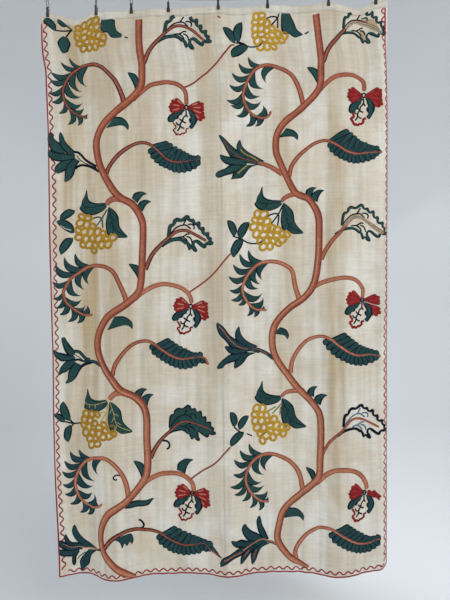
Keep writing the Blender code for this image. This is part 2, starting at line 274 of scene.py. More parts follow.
def woolMaterial(shade):
    material, tree, shader = startMaterial("crewelWool_" + shade)
    colour = linear(wool[shade])
    own = addNode(tree, "ShaderNodeUVMap", uv_map="stitches")
    apart = addNode(tree, "ShaderNodeSeparateXYZ", links={0: own.outputs["UV"]})
    row = addNode(tree, "ShaderNodeMath", links={0: apart.outputs["Y"]}, operation="FRACT")
    centred = addNode(tree, "ShaderNodeMath", {1: 0.5}, {0: row.outputs[0]}, operation="SUBTRACT")
    side = addNode(tree, "ShaderNodeMath", links={0: centred.outputs[0]}, operation="ABSOLUTE")
    # each loop is a V that points along the row
    along = addNode(tree, "ShaderNodeMath", {1: 1.0 / woolLook["stitch"]}, {0: apart.outputs["X"]},
                    operation="MULTIPLY")
    slant = addNode(tree, "ShaderNodeMath", {1: woolLook["slope"]},
                    {0: side.outputs[0], 2: along.outputs[0]}, operation="MULTIPLY_ADD")
    loop = addNode(tree, "ShaderNodeMath", {1: 0.5}, {0: slant.outputs[0]}, operation="PINGPONG")
    # the stitch pattern raises the bump and, as painted shade, darkens the wool where one stitch meets the
    # next
    stitch = addNode(tree, "ShaderNodeMapRange",
                     {"From Min": 0.0, "From Max": 0.30, "To Min": 0.0, "To Max": 1.0},
                     {"Value": loop.outputs[0]}, interpolation_type="SMOOTHSTEP")
    # painted shade: the wool is darker towards both sides of each row, in the grooves between rows
    paintedGrooveShade = addNode(tree, "ShaderNodeMapRange",
                     {"From Min": 0.22, "From Max": 0.5, "To Min": 1.0, "To Max": 0.0},
                     {"Value": side.outputs[0]}, interpolation_type="SMOOTHSTEP")
    place = addNode(tree, "ShaderNodeTexCoord")
    # the yarn's fibres are 0.03 mm, drawn 0.6 mm wide so that they show
    fibres = addNode(tree, "ShaderNodeTexNoise", {"Scale": 1500.0, "Detail": 3.0, "Roughness": 0.7},
                     {"Vector": place.outputs["Object"]})
    # dye lots and fading change slowly over 40 mm, and from one length of wool to the next over 9 mm
    fading = addNode(tree, "ShaderNodeTexNoise", {"Scale": 26.0, "Detail": 2.0},
                     {"Vector": place.outputs["Object"]})
    lengths = addNode(tree, "ShaderNodeTexNoise", {"Scale": 110.0, "Detail": 1.0},
                      {"Vector": place.outputs["Object"]})
    bright = 1 + woolLook["fading"] * woolLook["paler"]
    dark = 1 - woolLook["fading"] * woolLook["deeper"]
    pale = tuple(min(1.0, c * bright + woolLook["bloom"]) for c in colour[:3]) + (1.0,)
    deep = tuple(c * dark for c in colour[:3]) + (1.0,)
    faded = addNode(tree, "ShaderNodeMix", {6: deep, 7: pale}, {0: fading.outputs["Fac"]}, data_type="RGBA")
    mixed = addNode(tree, "ShaderNodeMix", {0: woolLook["lengths"]}, data_type="RGBA", blend_type="OVERLAY")
    tree.links.new(faded.outputs[2], mixed.inputs[6])
    tree.links.new(lengths.outputs["Fac"], mixed.inputs[7])
    # both painted shades are multiplied into the wool's colour
    shades = []
    for form, amount in ((stitch, woolLook["paintedStitchShade"]), (paintedGrooveShade, woolLook["paintedGrooveShade"])):
        shades.append(addNode(tree, "ShaderNodeMath", {1: amount, 2: 1.0 - amount}, {0: form.outputs[0]},
                              operation="MULTIPLY_ADD"))
    both = addNode(tree, "ShaderNodeMath", links={0: shades[0].outputs[0], 1: shades[1].outputs[0]},
                   operation="MULTIPLY")
    darkened = addNode(tree, "ShaderNodeMix", {0: 1.0}, data_type="RGBA", blend_type="MULTIPLY")
    tree.links.new(mixed.outputs[2], darkened.inputs[6])
    tree.links.new(both.outputs[0], darkened.inputs[7])
    tree.links.new(darkened.outputs[2], shader.inputs["Base Color"])
    height = addNode(tree, "ShaderNodeMath", {1: woolLook["fibres"]},
                     {0: fibres.outputs["Fac"], 2: stitch.outputs[0]}, operation="MULTIPLY_ADD")
    bump = addNode(tree, "ShaderNodeBump", {"Strength": woolLook["bump"], "Distance": 0.0006},
                   {"Height": height.outputs[0]})
    tree.links.new(bump.outputs[0], shader.inputs["Normal"])
    shader.inputs["Roughness"].default_value = woolLook["roughness"]
    shader.inputs["Sheen Weight"].default_value = woolLook["sheen"]
    shader.inputs["Sheen Tint"].default_value = pale  # hairs are dyed too, so dark wool has no white bloom
    shader.inputs["Sheen Roughness"].default_value = woolLook["sheenRoughness"]
    shader.inputs["Specular IOR Level"].default_value = woolLook["shine"]
    return material


woolMaterials = {shade: woolMaterial(shade) for shade in wool}
shadeNumbers = {shade: number for number, shade in enumerate(wool)}
print("wool dyed")

# Stitching: every shape is rows of chain stitch laid side by side between two edges
stitching = {
    "step": 4.6,  # mm between stations along a row
    "fineStep": 2.8,  # mm, for outlines with small teeth
    "backRows": 3,  # front rows to each strip at the back
    "spread": 0.5,  # mm that the wool swells beyond a drawn edge
    "row": 2.5,  # mm, the width of one row of chain stitch
    "height": 1.0,  # mm
    "sunk": 0.3,  # mm that the edge of a shape is pulled into the cloth
    "reverse": 0.45,  # mm that the stitches stand out at the back
    "veinRow": 2.4,  # mm, a row of the veins of the spiky leaves
    "thinnest": 0.9,  # mm, the width that a row keeps where a shape comes to a point
    "flattest": 0.25,  # the least height of such a squeezed row, as a share of the full one
    "second": 0.76, "reverseSecond": 0.55,  # height of every second stitch, in front and at the back
    "between": 0.30,  # height between two rows
    "endHeight": 0.45,  # share of the height that is left where a row starts and stops
}
curveParts = 10  # steps from one drawn point to the next


def curveThrough(points, closed=False):
    p = np.array(points, float)
    if closed:
        padded = np.vstack([p[-1:], p, p[:2]])
    else:
        padded = np.vstack([2 * p[0] - p[1], p, 2 * p[-1] - p[-2]])
    t = (np.arange(curveParts) / curveParts)[:, None]
    pieces = []
    for a, b, c, d in zip(padded, padded[1:], padded[2:], padded[3:]):
        bends = (c - a) * t + (2 * a - 5 * b + 4 * c - d) * t ** 2 + (3 * b - a - 3 * c + d) * t ** 3
        pieces.append(0.5 * (2 * b + bends))
    if not closed:
        pieces.append(p[-1:])
    return np.vstack(pieces)


def walkedAlong(line):
    return np.concatenate([[0], np.cumsum(np.linalg.norm(np.diff(line, axis=0), axis=1))])


def lengthOf(line):
    return float(walkedAlong(line)[-1])


def evenly(line, count, closed=False):
    if closed:
        line = np.vstack([line, line[:1]])
    walked = walkedAlong(line)
    at = np.linspace(0, walked[-1], count + (1 if closed else 0))
    if closed:
        at = at[:-1]
    return np.stack([np.interp(at, walked, line[:, 0]), np.interp(at, walked, line[:, 1])], axis=1)


def headings(line, closed=False):
    if closed:
        way = np.roll(line, -1, axis=0) - np.roll(line, 1, axis=0)
    else:
        way = np.gradient(line, axis=0)
    return way / np.maximum(1e-9, np.linalg.norm(way, axis=1, keepdims=True))


def startWork(name):
    lists = {part: [] for part in ("points", "uv", "quads", "shades", "caps", "capShades")}
    return {"name": name, "count": 0, **lists}


def layPatch(work, edgeA, edgeB, shades, lift=0.1, height=None, closed=False):
    height = stitching["height"] if height is None else height
    rows = len(shades)
    way = headings((edgeA + edgeB) / 2, closed)
    across = edgeB - edgeA
    if np.sum(across[:, 0] * way[:, 1] - across[:, 1] * way[:, 0]) > 0:
        edgeA, edgeB, shades = edgeB, edgeA, shades[::-1]
    width = np.linalg.norm(edgeB - edgeA, axis=1)
    outward = (edgeB - edgeA) / np.maximum(width, 0.5)[:, None] * stitching["spread"]
    edgeA, edgeB, width = edgeA - outward, edgeB + outward, width + 2 * stitching["spread"]
    middle = (edgeA + edgeB) / 2
    aside = np.stack([-way[:, 1], way[:, 0]], axis=1)
    thinnest = stitching["thinnest"]
    thin = (width < thinnest)[:, None]
    edgeA = np.where(thin, middle - aside * thinnest / 2, edgeA)
    edgeB = np.where(thin, middle + aside * thinnest / 2, edgeB)
    width = np.maximum(width, thinnest)
    stations = len(middle)
    number = np.arange(stations)[:, None]
    fullness = np.clip(width / rows / stitching["row"], stitching["flattest"], 1.0)[:, None]
    frontAt = np.linspace(0, 1, 2 * rows + 1)
    front = edgeA[:, None] * (1 - frontAt)[None, :, None] + edgeB[:, None] * frontAt[None, :, None]
    ridge = height * fullness * np.where((number + np.arange(rows)) % 2 == 0, 1.0, stitching["second"])
    up = np.zeros((stations, 2 * rows + 1))
    up[:, 1::2] = lift + ridge
    up[:, 2:-1:2] = lift + stitching["between"] * height * fullness
    up[:, 0] = up[:, -1] = -stitching["sunk"]
    if not closed:
        up[[0, -1], 1:-1] *= stitching["endHeight"]
    strips = max(1, round(rows / stitching["backRows"]))
    backAt = np.concatenate([[0], (np.arange(strips) + 0.5) / strips, [1]])
    back = edgeA[:, None] * (1 - backAt)[None, :, None] + edgeB[:, None] * backAt[None, :, None]
    down = np.full((stations, strips + 2), stitching["reverse"])
    down *= np.where(number % 2 == 0, 1.0, stitching["reverseSecond"])
    down[:, 0] = down[:, -1] = -stitching["sunk"]
    half = drape["thickness"] * 1000 / 2
    frontPoints = onCloth(front, half + up)
    backPoints = onCloth(back, -half - down)
    walked = walkedAlong(middle) * 0.001
    frontUv = np.stack(np.broadcast_arrays(walked[:, None], frontAt[None, :] * rows), axis=-1)
    backUv = np.stack(np.broadcast_arrays(walked[:, None], backAt[None, :] * rows), axis=-1)
    f, b = 2 * rows + 1, strips + 2
    first = work["count"]
    frontIndex = first + np.arange(stations * f).reshape(stations, f)
    backIndex = first + stations * f + np.arange(stations * b).reshape(stations, b)
    work["points"] += [frontPoints.reshape(-1, 3), backPoints.reshape(-1, 3)]
    work["uv"] += [frontUv.reshape(-1, 2), backUv.reshape(-1, 2)]
    work["count"] += stations * (f + b)
    if closed:
        frontIndex, backIndex = (np.vstack([table, table[:1]]) for table in (frontIndex, backIndex))
    inks = np.array([shadeNumbers[shade] for shade in shades])
    fi, bi = frontIndex, backIndex
    sides = (
        ((fi[:-1, :-1], fi[:-1, 1:], fi[1:, 1:], fi[1:, :-1]), np.repeat(inks, 2)),
        ((bi[:-1, :-1], bi[1:, :-1], bi[1:, 1:], bi[:-1, 1:]),
         inks[np.arange(strips + 1) * (rows - 1) // strips]),
        ((fi[:-1, :1], fi[1:, :1], bi[1:, :1], bi[:-1, :1]), inks[:1]),
        ((fi[:-1, -1:], bi[:-1, -1:], bi[1:, -1:], fi[1:, -1:]), inks[-1:]),
    )
    for corners, ink in sides:
        quads = np.stack(corners, axis=-1)
        work["quads"].append(quads.reshape(-1, 4))
        work["shades"].append(np.broadcast_to(ink[None, :], quads.shape[:2]).reshape(-1))
    if not closed:
        work["caps"] += [list(bi[0]) + list(fi[0][::-1]), list(fi[-1]) + list(bi[-1][::-1])]
        work["capShades"] += [int(inks[rows // 2])] * 2


def finishWork(work):
    points, uv = np.vstack(work["points"]), np.vstack(work["uv"])
    quads, shades = np.vstack(work["quads"]), np.concatenate(work["shades"])
    corners = np.concatenate([quads.reshape(-1)] + [np.array(cap) for cap in work["caps"]])
    sizes = np.concatenate([np.full(len(quads), 4), np.array([len(cap) for cap in work["caps"]], int)])
    inks = np.concatenate([shades, np.array(work["capShades"], int)])
    used = np.unique(inks)
    mesh = bpy.data.meshes.new(work["name"])
    mesh.vertices.add(len(points))
    mesh.vertices.foreach_set("co", points.reshape(-1))
    mesh.loops.add(len(corners))
    mesh.loops.foreach_set("vertex_index", corners.astype(np.int32))
    mesh.polygons.add(len(sizes))
    mesh.polygons.foreach_set("loop_start", np.concatenate([[0], np.cumsum(sizes)[:-1]]).astype(np.int32))
    names = list(wool)
    for ink in used:
        mesh.materials.append(woolMaterials[names[ink]])
    mesh.polygons.foreach_set("material_index", np.searchsorted(used, inks).astype(np.int32))
    mesh.uv_layers.new(name="stitches").data.foreach_set("uv", uv[corners].reshape(-1))
    mesh.update(calc_edges=True)
    mesh.validate()
    mesh.shade_smooth()
    piece = bpy.data.objects.new(work["name"], mesh)
    bpy.context.scene.collection.objects.link(piece)
    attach(piece, "root")
    print(work["name"], "triangles", int(np.sum(sizes - 2)))
    return piece


def rowShades(rows, edge, fill, edgeRows=1):
    edgeRows = min(edgeRows, (rows - 1) // 2)
    return [edge] * edgeRows + [fill] * (rows - 2 * edgeRows) + [edge] * edgeRows


def layStem(work, points, width, shades, lift=0.5, ends=(0, 0), closed=False, height=None, rawLine=False):
    # width is one number or several along the line, in mm; ends says over how many mm each end is rounded
    line = np.array(points, float) if rawLine else curveThrough(points, closed)
    length = lengthOf(line) + (np.linalg.norm(line[0] - line[-1]) if closed else 0)
    count = max(3, int(round(length / stitching["step"])) + (0 if closed else 1))
    if closed:
        count = max(8, count)
    line = evenly(line, count, closed)
    widths = np.atleast_1d(np.array(width, float))
    wide = np.interp(np.linspace(0, 1, count), np.linspace(0, 1, len(widths)), widths)
    walked = np.linspace(0, length, count)
    for end, away in ((ends[0], walked), (ends[1], walked[::-1])):
        if end:
            wide = wide * np.sqrt(np.clip(1 - (1 - np.minimum(1, away / end)) ** 2, 0.0, 1.0))
    way = headings(line, closed)
    aside = np.stack([-way[:, 1], way[:, 0]], axis=1) * wide[:, None] / 2
    layPatch(work, line - aside, line + aside, shades, lift, height, closed)


def placed(base, tip, points, mirror=False):
    base, tip = np.array(base, float), np.array(tip, float)
    axis = tip - base
    aside = np.array([-axis[1], axis[0]]) * (-1 if mirror else 1)
    p = np.array(points, float)
    return base + p[:, :1] * axis + p[:, 1:] * aside


def layLeaf(work, edgeA, edgeB, edge="navy", fill="green", edgeRows=1, lift=0.1, height=None, straight=False,
            grow=0.4):
    a = np.array(edgeA, float) if straight else curveThrough(edgeA)
    b = np.array(edgeB, float) if straight else curveThrough(edgeB)
    count = max(4, int(round(max(lengthOf(a), lengthOf(b)) / stitching["step"])) + 1)
    a, b = evenly(a, count), evenly(b, count)
    apart = np.linalg.norm(a - b, axis=1, keepdims=True)
    out = (a - b) / np.maximum(apart, 0.5) * grow * np.clip(apart / 4, 0, 1)
    a, b = a + out, b - out
    rows = max(3, int(round(np.percentile(np.linalg.norm(a - b, axis=1), 75) / stitching["row"])))
    layPatch(work, a, b, rowShades(rows, edge, fill, edgeRows), lift, height)


# The two stems that run from the heading to the hem, with the place where the paler wool takes over
stems = {
    "width": {"left": 25.0, "right": 22.5}, "pointed": 80.0,
    "left": [(344, 33), (339, 205), (329, 266), (276, 319), (204, 379), (172, 437), (175, 500), (192, 550),
             (228, 613), (255, 641), (295, 665), (326, 718), (330, 770), (325, 872), (320, 931), (309, 968),
             (264, 1008), (201, 1051), (169, 1109), (165, 1161), (183, 1212), (217, 1263), (248, 1302),
             (301, 1330), (332, 1382), (335, 1475), (337, 1562), (323, 1614), (268, 1676), (198, 1723),
             (166, 1786), (173, 1846), (209, 1890), (252, 1922), (293, 1942)],
    "right": [(947, 33), (954, 122), (949, 208), (940, 286), (884, 348), (822, 399), (794, 444), (790, 495),
              (800, 529), (831, 596), (858, 641), (902, 666), (932, 719), (935, 788), (931, 873),
              (917, 950), (886, 997), (825, 1040), (782, 1090), (772, 1148), (785, 1203), (826, 1264),
              (861, 1310), (901, 1351), (931, 1394), (937, 1452), (933, 1554), (925, 1616), (874, 1668),
              (812, 1723), (791, 1782), (787, 1834), (818, 1883), (851, 1908), (893, 1925)],
    # numbers of the points between which the wool turns paler
    "paleFrom": {"left": (19, 24), "right": (13, 18)},
}

stemShades = {
    "plain": ("rust", "salmon", "coral"), "light": ("brick", "coral", "apricot"),
    "twig": ("rust", "rust", "brick"),
}

# Branches: kind, width at the stem, width at the end, and the points along it in mm on the flat cloth
branches = {
    "left": [
        ("edged", 14, 6, [(272, 313), (265, 285), (245, 238), (217, 206), (195, 187), (165, 173),
                          (133, 172), (101, 191), (75, 225), (60, 262), (63, 296), (77, 323), (100, 341),
                          (140, 357)]),
        ("plain", 14, 6, [(271, 1006), (262, 971), (246, 934), (227, 896), (201, 877), (169, 870),
                          (137, 873), (106, 890), (76, 910), (57, 938), (47, 960), (55, 991), (74, 1011),
                          (102, 1032), (123, 1040), (149, 1038)]),
        ("light", 14, 6, [(270, 1665), (263, 1623), (249, 1587), (225, 1556), (194, 1535), (159, 1534),
                          (123, 1542), (95, 1564), (76, 1595), (69, 1630), (77, 1667), (97, 1693),
                          (132, 1707), (160, 1700), (176, 1688)]),
        ("edged", 13, 6, [(346, 185), (375, 141), (413, 101), (433, 81), (458, 63), (487, 59), (522, 74),
                          (569, 118)]),
        ("edged", 13, 7, [(337, 889), (361, 839), (390, 805), (413, 785), (445, 761), (474, 757),
                          (504, 770), (549, 797)]),
        ("edged", 13, 4, [(347, 1538), (362, 1507), (387, 1473), (414, 1450), (442, 1425), (472, 1416),
                          (511, 1427), (560, 1445)]),
        ("plain", 13, 11, [(302, 306), (328, 284), (362, 262), (392, 254), (426, 250), (460, 258),
                           (484, 284), (487, 330)]),
        ("light", 13, 11, [(296, 990), (323, 968), (359, 949), (393, 940), (427, 944), (462, 957),
                           (486, 980), (495, 1010)]),
        ("light", 14, 12, [(306, 1643), (331, 1618), (366, 1600), (405, 1594), (445, 1598), (474, 1614),
                           (491, 1636), (494, 1662)]),
        ("edged", 13, 5, [(205, 558), (215, 535), (241, 502), (276, 472), (310, 455), (341, 455),
                          (366, 467), (389, 488), (416, 512), (450, 523), (492, 519), (531, 518)]),
        ("plain", 13, 5, [(219, 1248), (227, 1216), (252, 1177), (281, 1149), (310, 1136), (341, 1134),
                          (365, 1147), (384, 1163), (423, 1189), (458, 1200), (497, 1196), (533, 1196),
                          (550, 1222)]),
        ("edged", 13, 5, [(178, 1841), (205, 1810), (240, 1787), (279, 1779), (323, 1785), (367, 1798),
                          (406, 1823), (446, 1843), (485, 1846), (526, 1840), (557, 1861), (591, 1882)]),
        ("plain", 17, 15, [(266, 650), (258, 646), (234, 644), (214, 651), (205, 665)]),
        ("light", 17, 14, [(262, 1310), (253, 1308), (227, 1311), (205, 1331)]),
        ("twig", 5, 4, [(474, 271), (504, 261), (540, 239), (566, 221), (604, 184), (634, 153), (655, 131),
                        (670, 128)]),
        ("twig", 4.5, 4, [(482, 973), (542, 934), (578, 904), (609, 869), (633, 842)]),
        ("twig", 4.5, 4, [(482, 1619), (520, 1591), (561, 1566), (588, 1543), (605, 1523), (627, 1499)]),
    ],
    "right": [
        ("plain", 14, 6, [(885, 336), (873, 286), (854, 246), (831, 225), (802, 213), (764, 204),
                          (734, 211), (709, 236), (691, 269), (682, 304), (691, 338), (714, 369),
                          (748, 384), (768, 376), (775, 360)]),
        ("light", 14, 6, [(867, 1005), (853, 958), (843, 907), (818, 886), (788, 875), (754, 874),
                          (725, 883), (695, 912), (675, 950), (674, 980), (689, 1008), (713, 1033),
                          (757, 1039)]),
        ("light", 14, 6, [(874, 1660), (862, 1603), (838, 1568), (803, 1544), (759, 1532), (720, 1545),
                          (692, 1573), (679, 1606), (681, 1636), (699, 1668), (728, 1695), (760, 1699)]),
        ("edged", 13, 6, [(956, 199), (977, 161), (1012, 121), (1038, 89), (1065, 57), (1095, 45),
                          (1128, 75), (1169, 110)]),
        ("plain", 13, 6, [(941, 871), (958, 837), (982, 804), (1008, 778), (1037, 742), (1063, 729),
                          (1093, 741), (1161, 789)]),
        ("plain", 9, 5, [(940, 1535), (964, 1493), (992, 1466), (1007, 1454), (1038, 1420), (1071, 1416),
                         (1107, 1432), (1142, 1451)]),
        ("plain", 13, 11, [(910, 327), (936, 299), (964, 273), (993, 253), (1028, 244), (1063, 244),
                           (1091, 262), (1094, 297)]),
        ("light", 13, 10, [(896, 986), (919, 962), (953, 947), (995, 938), (1030, 936), (1062, 946),
                           (1083, 971), (1085, 989), (1083, 1008)]),
        ("light", 13, 12, [(908, 1641), (936, 1619), (963, 1595), (1000, 1584), (1042, 1591), (1075, 1610),
                           (1094, 1640), (1096, 1662)]),
        ("plain", 13, 5, [(834, 585), (844, 548), (869, 514), (903, 486), (932, 471), (960, 469),
                          (988, 482), (1022, 504), (1058, 513), (1099, 510), (1153, 511)]),
        ("light", 13, 5, [(835, 1256), (840, 1219), (860, 1180), (889, 1148), (922, 1134), (951, 1134),
                          (979, 1148), (993, 1161), (1028, 1186), (1066, 1201), (1108, 1200), (1148, 1207)]),
        ("light", 13, 5, [(850, 1899), (846, 1872), (864, 1836), (893, 1805), (927, 1785), (961, 1782),
                          (979, 1789), (1008, 1808), (1044, 1831), (1084, 1845), (1117, 1842), (1147, 1835)]),
        ("plain", 15, 10, [(876, 650), (868, 644), (839, 648), (818, 658), (807, 672)]),
        ("light", 15, 9, [(877, 1322), (869, 1317), (830, 1320), (812, 1327), (801, 1340)]),
        ("plain", 14, 10, [(810, 577), (766, 549), (727, 532)]),
    ],
}


branchLook = {
    "fullness": 1.25,  # the wool spreads beyond the drawn line
    "middle": 0.4,  # how much of the first width is left half way along
    "tip": 6.0,  # mm over which the end is rounded
}


def layBranch(work, kind, start, end, points):
    start, end = start * branchLook["fullness"], end * branchLook["fullness"]
    rows = max(2, round((start + end) / 2 / stitching["row"]))
    if kind == "edged":
        shades = ["navy", "rust"] + ["salmon"] * max(1, rows - 4) + ["brick", "navy"]
    else:
        edge, fill, light = stemShades[kind]
        shades = rowShades(rows, edge, fill)
        shades[rows // 2] = light
    half = end + (start - end) * branchLook["middle"]
    layStem(work, points, (start, half, end), shades, lift=0.55, ends=(0, branchLook["tip"]))


def stitchStems(side):
    work = startWork("stems" + side.title())
    for kind, start, end, points in branches[side]:
        layBranch(work, kind, start, end, points)
    line, width = curveThrough(stems[side]), stems["width"][side]
    warmer, pale = (curveParts * number for number in stems["paleFrom"][side])
    for part, tones, end in ((line[:warmer + 3], ("brick", "salmon", "coral"), 0),
                             (line[warmer:pale + 3], ("brick", "salmon", "apricot"), 0),
                             (line[pale:], ("salmon", "coral", "apricot"), stems["pointed"])):
        flank, middle, light = tones
        rows = ["rust", "rust", flank, middle, middle, light, light, middle, flank, "rust"]
        layStem(work, part, width, rows, lift=0.8, ends=(0, end), rawLine=True)
    if side == "left":
        layStem(work, [(613, 33), (623, 39)], 4.5, ["edging", "red"], lift=0.1)
    return finishWork(work)


# Plain leaves and buds, drawn once in their own length and laid at each place
leafShapes = {
    "hooked": ([(-0.03, -0.08), (0.01, -0.29), (0.17, -0.54), (0.34, -0.68), (0.57, -0.75), (0.79, -0.70),
                (0.82, -0.56), (0.89, -0.41), (0.92, -0.22), (1.0, 0.0)],
               [(0.06, -0.02), (0.38, -0.23), (0.64, -0.30), (0.80, -0.22), (1.0, 0.0)]),
    "hanging": ([(0.0, 0.0), (0.14, -0.06), (0.34, -0.08), (0.47, -0.03), (0.62, 0.04), (0.77, 0.04),
                 (1.0, 0.0)],
                [(0.0, 0.01), (0.10, 0.09), (0.32, 0.29), (0.51, 0.39), (0.67, 0.42), (0.64, 0.31),
                 (0.77, 0.27), (0.87, 0.21), (1.0, 0.0)]),
    "sprig": ([(-0.02, 0.01), (0.21, 0.27), (0.55, 0.31), (0.83, 0.22), (1.0, 0.0)],
              [(0.04, -0.04), (0.32, -0.08), (0.66, -0.07), (1.0, 0.0)]),
    "full": ([(0.02, 0.10), (0.24, 0.25), (0.52, 0.32), (0.80, 0.16), (1.0, 0.0)],
             [(0.02, -0.10), (0.30, -0.29), (0.55, -0.27), (0.83, -0.21), (1.0, 0.0)]),
    "hook": ([(-0.09, -0.27), (0.23, -0.49), (0.69, -0.36), (1.0, 0.0)],
             [(0.05, 0.17), (0.41, -0.02), (0.76, -0.09), (1.0, 0.0)]),
    "droop": ([(0.09, -0.27), (0.47, -0.4), (0.84, -0.28), (1.0, 0.0)],
              [(-0.03, 0.36), (0.28, 0.13), (0.62, -0.08), (0.84, -0.1), (1.0, 0.0)]),
    "fang": ([(-0.1, -0.15), (0.38, -0.05), (1.0, 0.0)],
             [(0.06, 0.14), (0.36, 0.29), (0.66, 0.26), (1.0, 0.0)]),
    "long": ([(0.05, -0.08), (0.4, -0.04), (0.72, 0.03), (1.0, 0.0)],
             [(-0.02, 0.08), (0.3, 0.13), (0.73, 0.18), (0.91, 0.06), (1.0, 0.0)]),
}

# Each is a shape, the place of its foot and the place of its tip; True turns it over
plainLeaves = {
    "left": [
        ("hooked", (208, 660), (132, 605)), ("hooked", (203, 1334), (123, 1294)),
        ("hanging", (213, 672), (277, 776)), ("hanging", (209, 1339), (286, 1445)),
        ("sprig", (49, 56), (8, 18)), ("sprig", (87, 32), (58, 14), True), ("full", (84, 70), (71, 131)),
        ("sprig", (92, 681), (40, 711)), ("sprig", (85, 755), (27, 714)), ("sprig", (84, 774), (42, 829)),
        ("sprig", (62, 1401), (39, 1335), True), ("sprig", (41, 1408), (3, 1382)),
        ("sprig", (65, 1420), (53, 1478)),
        ("hook", (303, 653), (345, 630)), ("hook", (322, 683), (360, 657)),
        ("hook", (306, 1329), (338, 1300)),
        ("hook", (328, 1355), (360, 1318)), ("hook", (454, 1592), (495, 1549)),
        ("droop", (222, 377), (283, 410)), ("droop", (214, 1066), (288, 1092)),
        ("fang", (319, 261), (289, 210)), ("fang", (322, 922), (279, 867)),
        ("fang", (323, 1600), (288, 1545)),
        ("long", (257, 1694), (357, 1678)),
    ],
    "right": [
        ("hooked", (811, 671), (742, 615)), ("hooked", (804, 1336), (738, 1280)),
        ("hanging", (814, 675), (883, 779)), ("hanging", (805, 1343), (888, 1443)),
        ("sprig", (666, 121), (630, 70)), ("sprig", (682, 118), (696, 49), True),
        ("sprig", (713, 135), (651, 172)),
        ("sprig", (644, 783), (622, 730)), ("sprig", (666, 793), (699, 736), True),
        ("sprig", (676, 795), (641, 857)),
        ("sprig", (638, 1432), (626, 1381)), ("sprig", (658, 1444), (691, 1400), True),
        ("sprig", (673, 1457), (627, 1499)),
        ("hook", (902, 655), (928, 625)), ("hook", (921, 671), (953, 637)),
        ("hook", (906, 1338), (926, 1303)),
        ("hook", (927, 1363), (960, 1332)),
        ("droop", (812, 434), (864, 462)), ("droop", (786, 1106), (824, 1142)),
        ("droop", (812, 1737), (874, 1768)),
        ("fang", (940, 262), (902, 211)), ("fang", (913, 1625), (885, 1582)),
    ],
}

# Veins of the two larger leaves: the midrib first, then the side veins
leafVeins = {
    "hooked": [[(0.05, -0.06), (0.40, -0.40), (0.72, -0.55), (0.84, -0.50)], [(0.40, -0.40), (0.36, -0.58)],
               [(0.62, -0.50), (0.60, -0.66)]],
    "hanging": [[(0.03, 0.01), (0.30, 0.09), (0.60, 0.20), (0.94, 0.03)], [(0.18, 0.05), (0.24, 0.17)],
                [(0.38, 0.12), (0.46, 0.27)], [(0.30, 0.09), (0.44, 0.03)], [(0.52, 0.17), (0.66, 0.12)],
                [(0.60, 0.20), (0.68, 0.32)]],
}

strawVeined = (("left", 1334), ("left", 1339))  # side and height of the two leaves with pale veins

# The comb-shaped leaf under the lowest branch on the left
combLeaf = ([(219, 1803), (244, 1795), (268, 1791), (277, 1794), (283, 1813), (278, 1829)],
            [(219, 1805), (231, 1809), (239, 1817), (246, 1835), (252, 1819), (261, 1831), (268, 1816),
             (278, 1829)])

# The two leaves that the heading cuts off, each by its left and its right edge
cutLeaves = {
    "left": ([(214, 27), (209, 46), (213, 70), (234, 71), (250, 89), (283, 90)],
             [(221, 27), (259, 28), (262, 47), (268, 67), (285, 79)]),
    "right": ([(831, 27), (829, 50), (830, 84), (841, 99), (855, 97), (875, 109), (902, 100)],
              [(858, 27), (873, 59), (883, 83), (902, 99)]),
}

# Fine lines: sprig threads, tendrils and forked stalks, each with its wool and its width in mm
threadFullness = 1.35  # the wool spreads beyond the drawn line
threads = {
    "left": [
        ("navy", 3.5, [(107, 42), (76, 52), (47, 55)]), ("navy", 3.5, [(107, 42), (84, 28)]),
        ("navy", 3.5, [(102, 44), (83, 75)]),
        ("navy", 3.5, [(101, 1414), (76, 1414), (62, 1399)]), ("navy", 3.5, [(76, 1414), (38, 1404)]),
        ("navy", 3.5, [(74, 1415), (62, 1429)]),
        ("navy", 3.5, [(247, 1591), (230, 1588), (219, 1597), (227, 1605), (232, 1601)]),
        ("navy", 5.0, [(302, 1749), (312, 1754), (320, 1767), (316, 1776), (309, 1778)]),
        ("navy", 5.0, [(388, 1479), (403, 1483), (412, 1494), (410, 1506), (402, 1511)]),
        ("navy", 3.5, [(293, 90), (304, 92)]),
        ("green", 3.5, [(207, 679), (187, 710), (164, 736)]),
        ("green", 3.5, [(154, 706), (175, 703), (188, 713), (191, 741)]),
        ("straw", 3.0, [(204, 1348), (194, 1379), (173, 1408)]),
        ("straw", 3.0, [(153, 1388), (174, 1376), (195, 1379), (196, 1409)]),
        ("cream", 3.0, [(80, 745), (60, 740), (40, 727)]),
    ],
    "right": [
        ("navy", 3.5, [(664, 120), (697, 123), (715, 135), (744, 138), (757, 132), (768, 121)]),
        ("navy", 3.5, [(683, 116), (697, 123)]),
        ("navy", 3.5, [(639, 783), (669, 794), (696, 807), (723, 810), (737, 805), (747, 796)]),
        ("navy", 3.5, [(638, 1432), (655, 1449), (673, 1459)]),
        ("navy", 3.0, [(683, 1461), (702, 1470)]), ("navy", 3.0, [(730, 1472), (754, 1454)]),
        ("navy", 3.5, [(822, 29), (816, 45), (792, 73)]), ("navy", 3.5,
            [(778, 46), (798, 40), (816, 44), (817, 78)]),
        ("navy", 3.5, [(812, 683), (797, 713), (773, 745)]), ("navy", 3.5,
            [(755, 723), (774, 713), (797, 715), (794, 753)]),
        ("navy", 3.5, [(908, 97), (922, 89)]), ("olive", 3.0, [(803, 1359), (772, 1393)]),
        ("olive", 3.0, [(755, 1386), (784, 1369)]),
        ("olive", 3.0, [(800, 1370), (797, 1399)]),
    ],
}

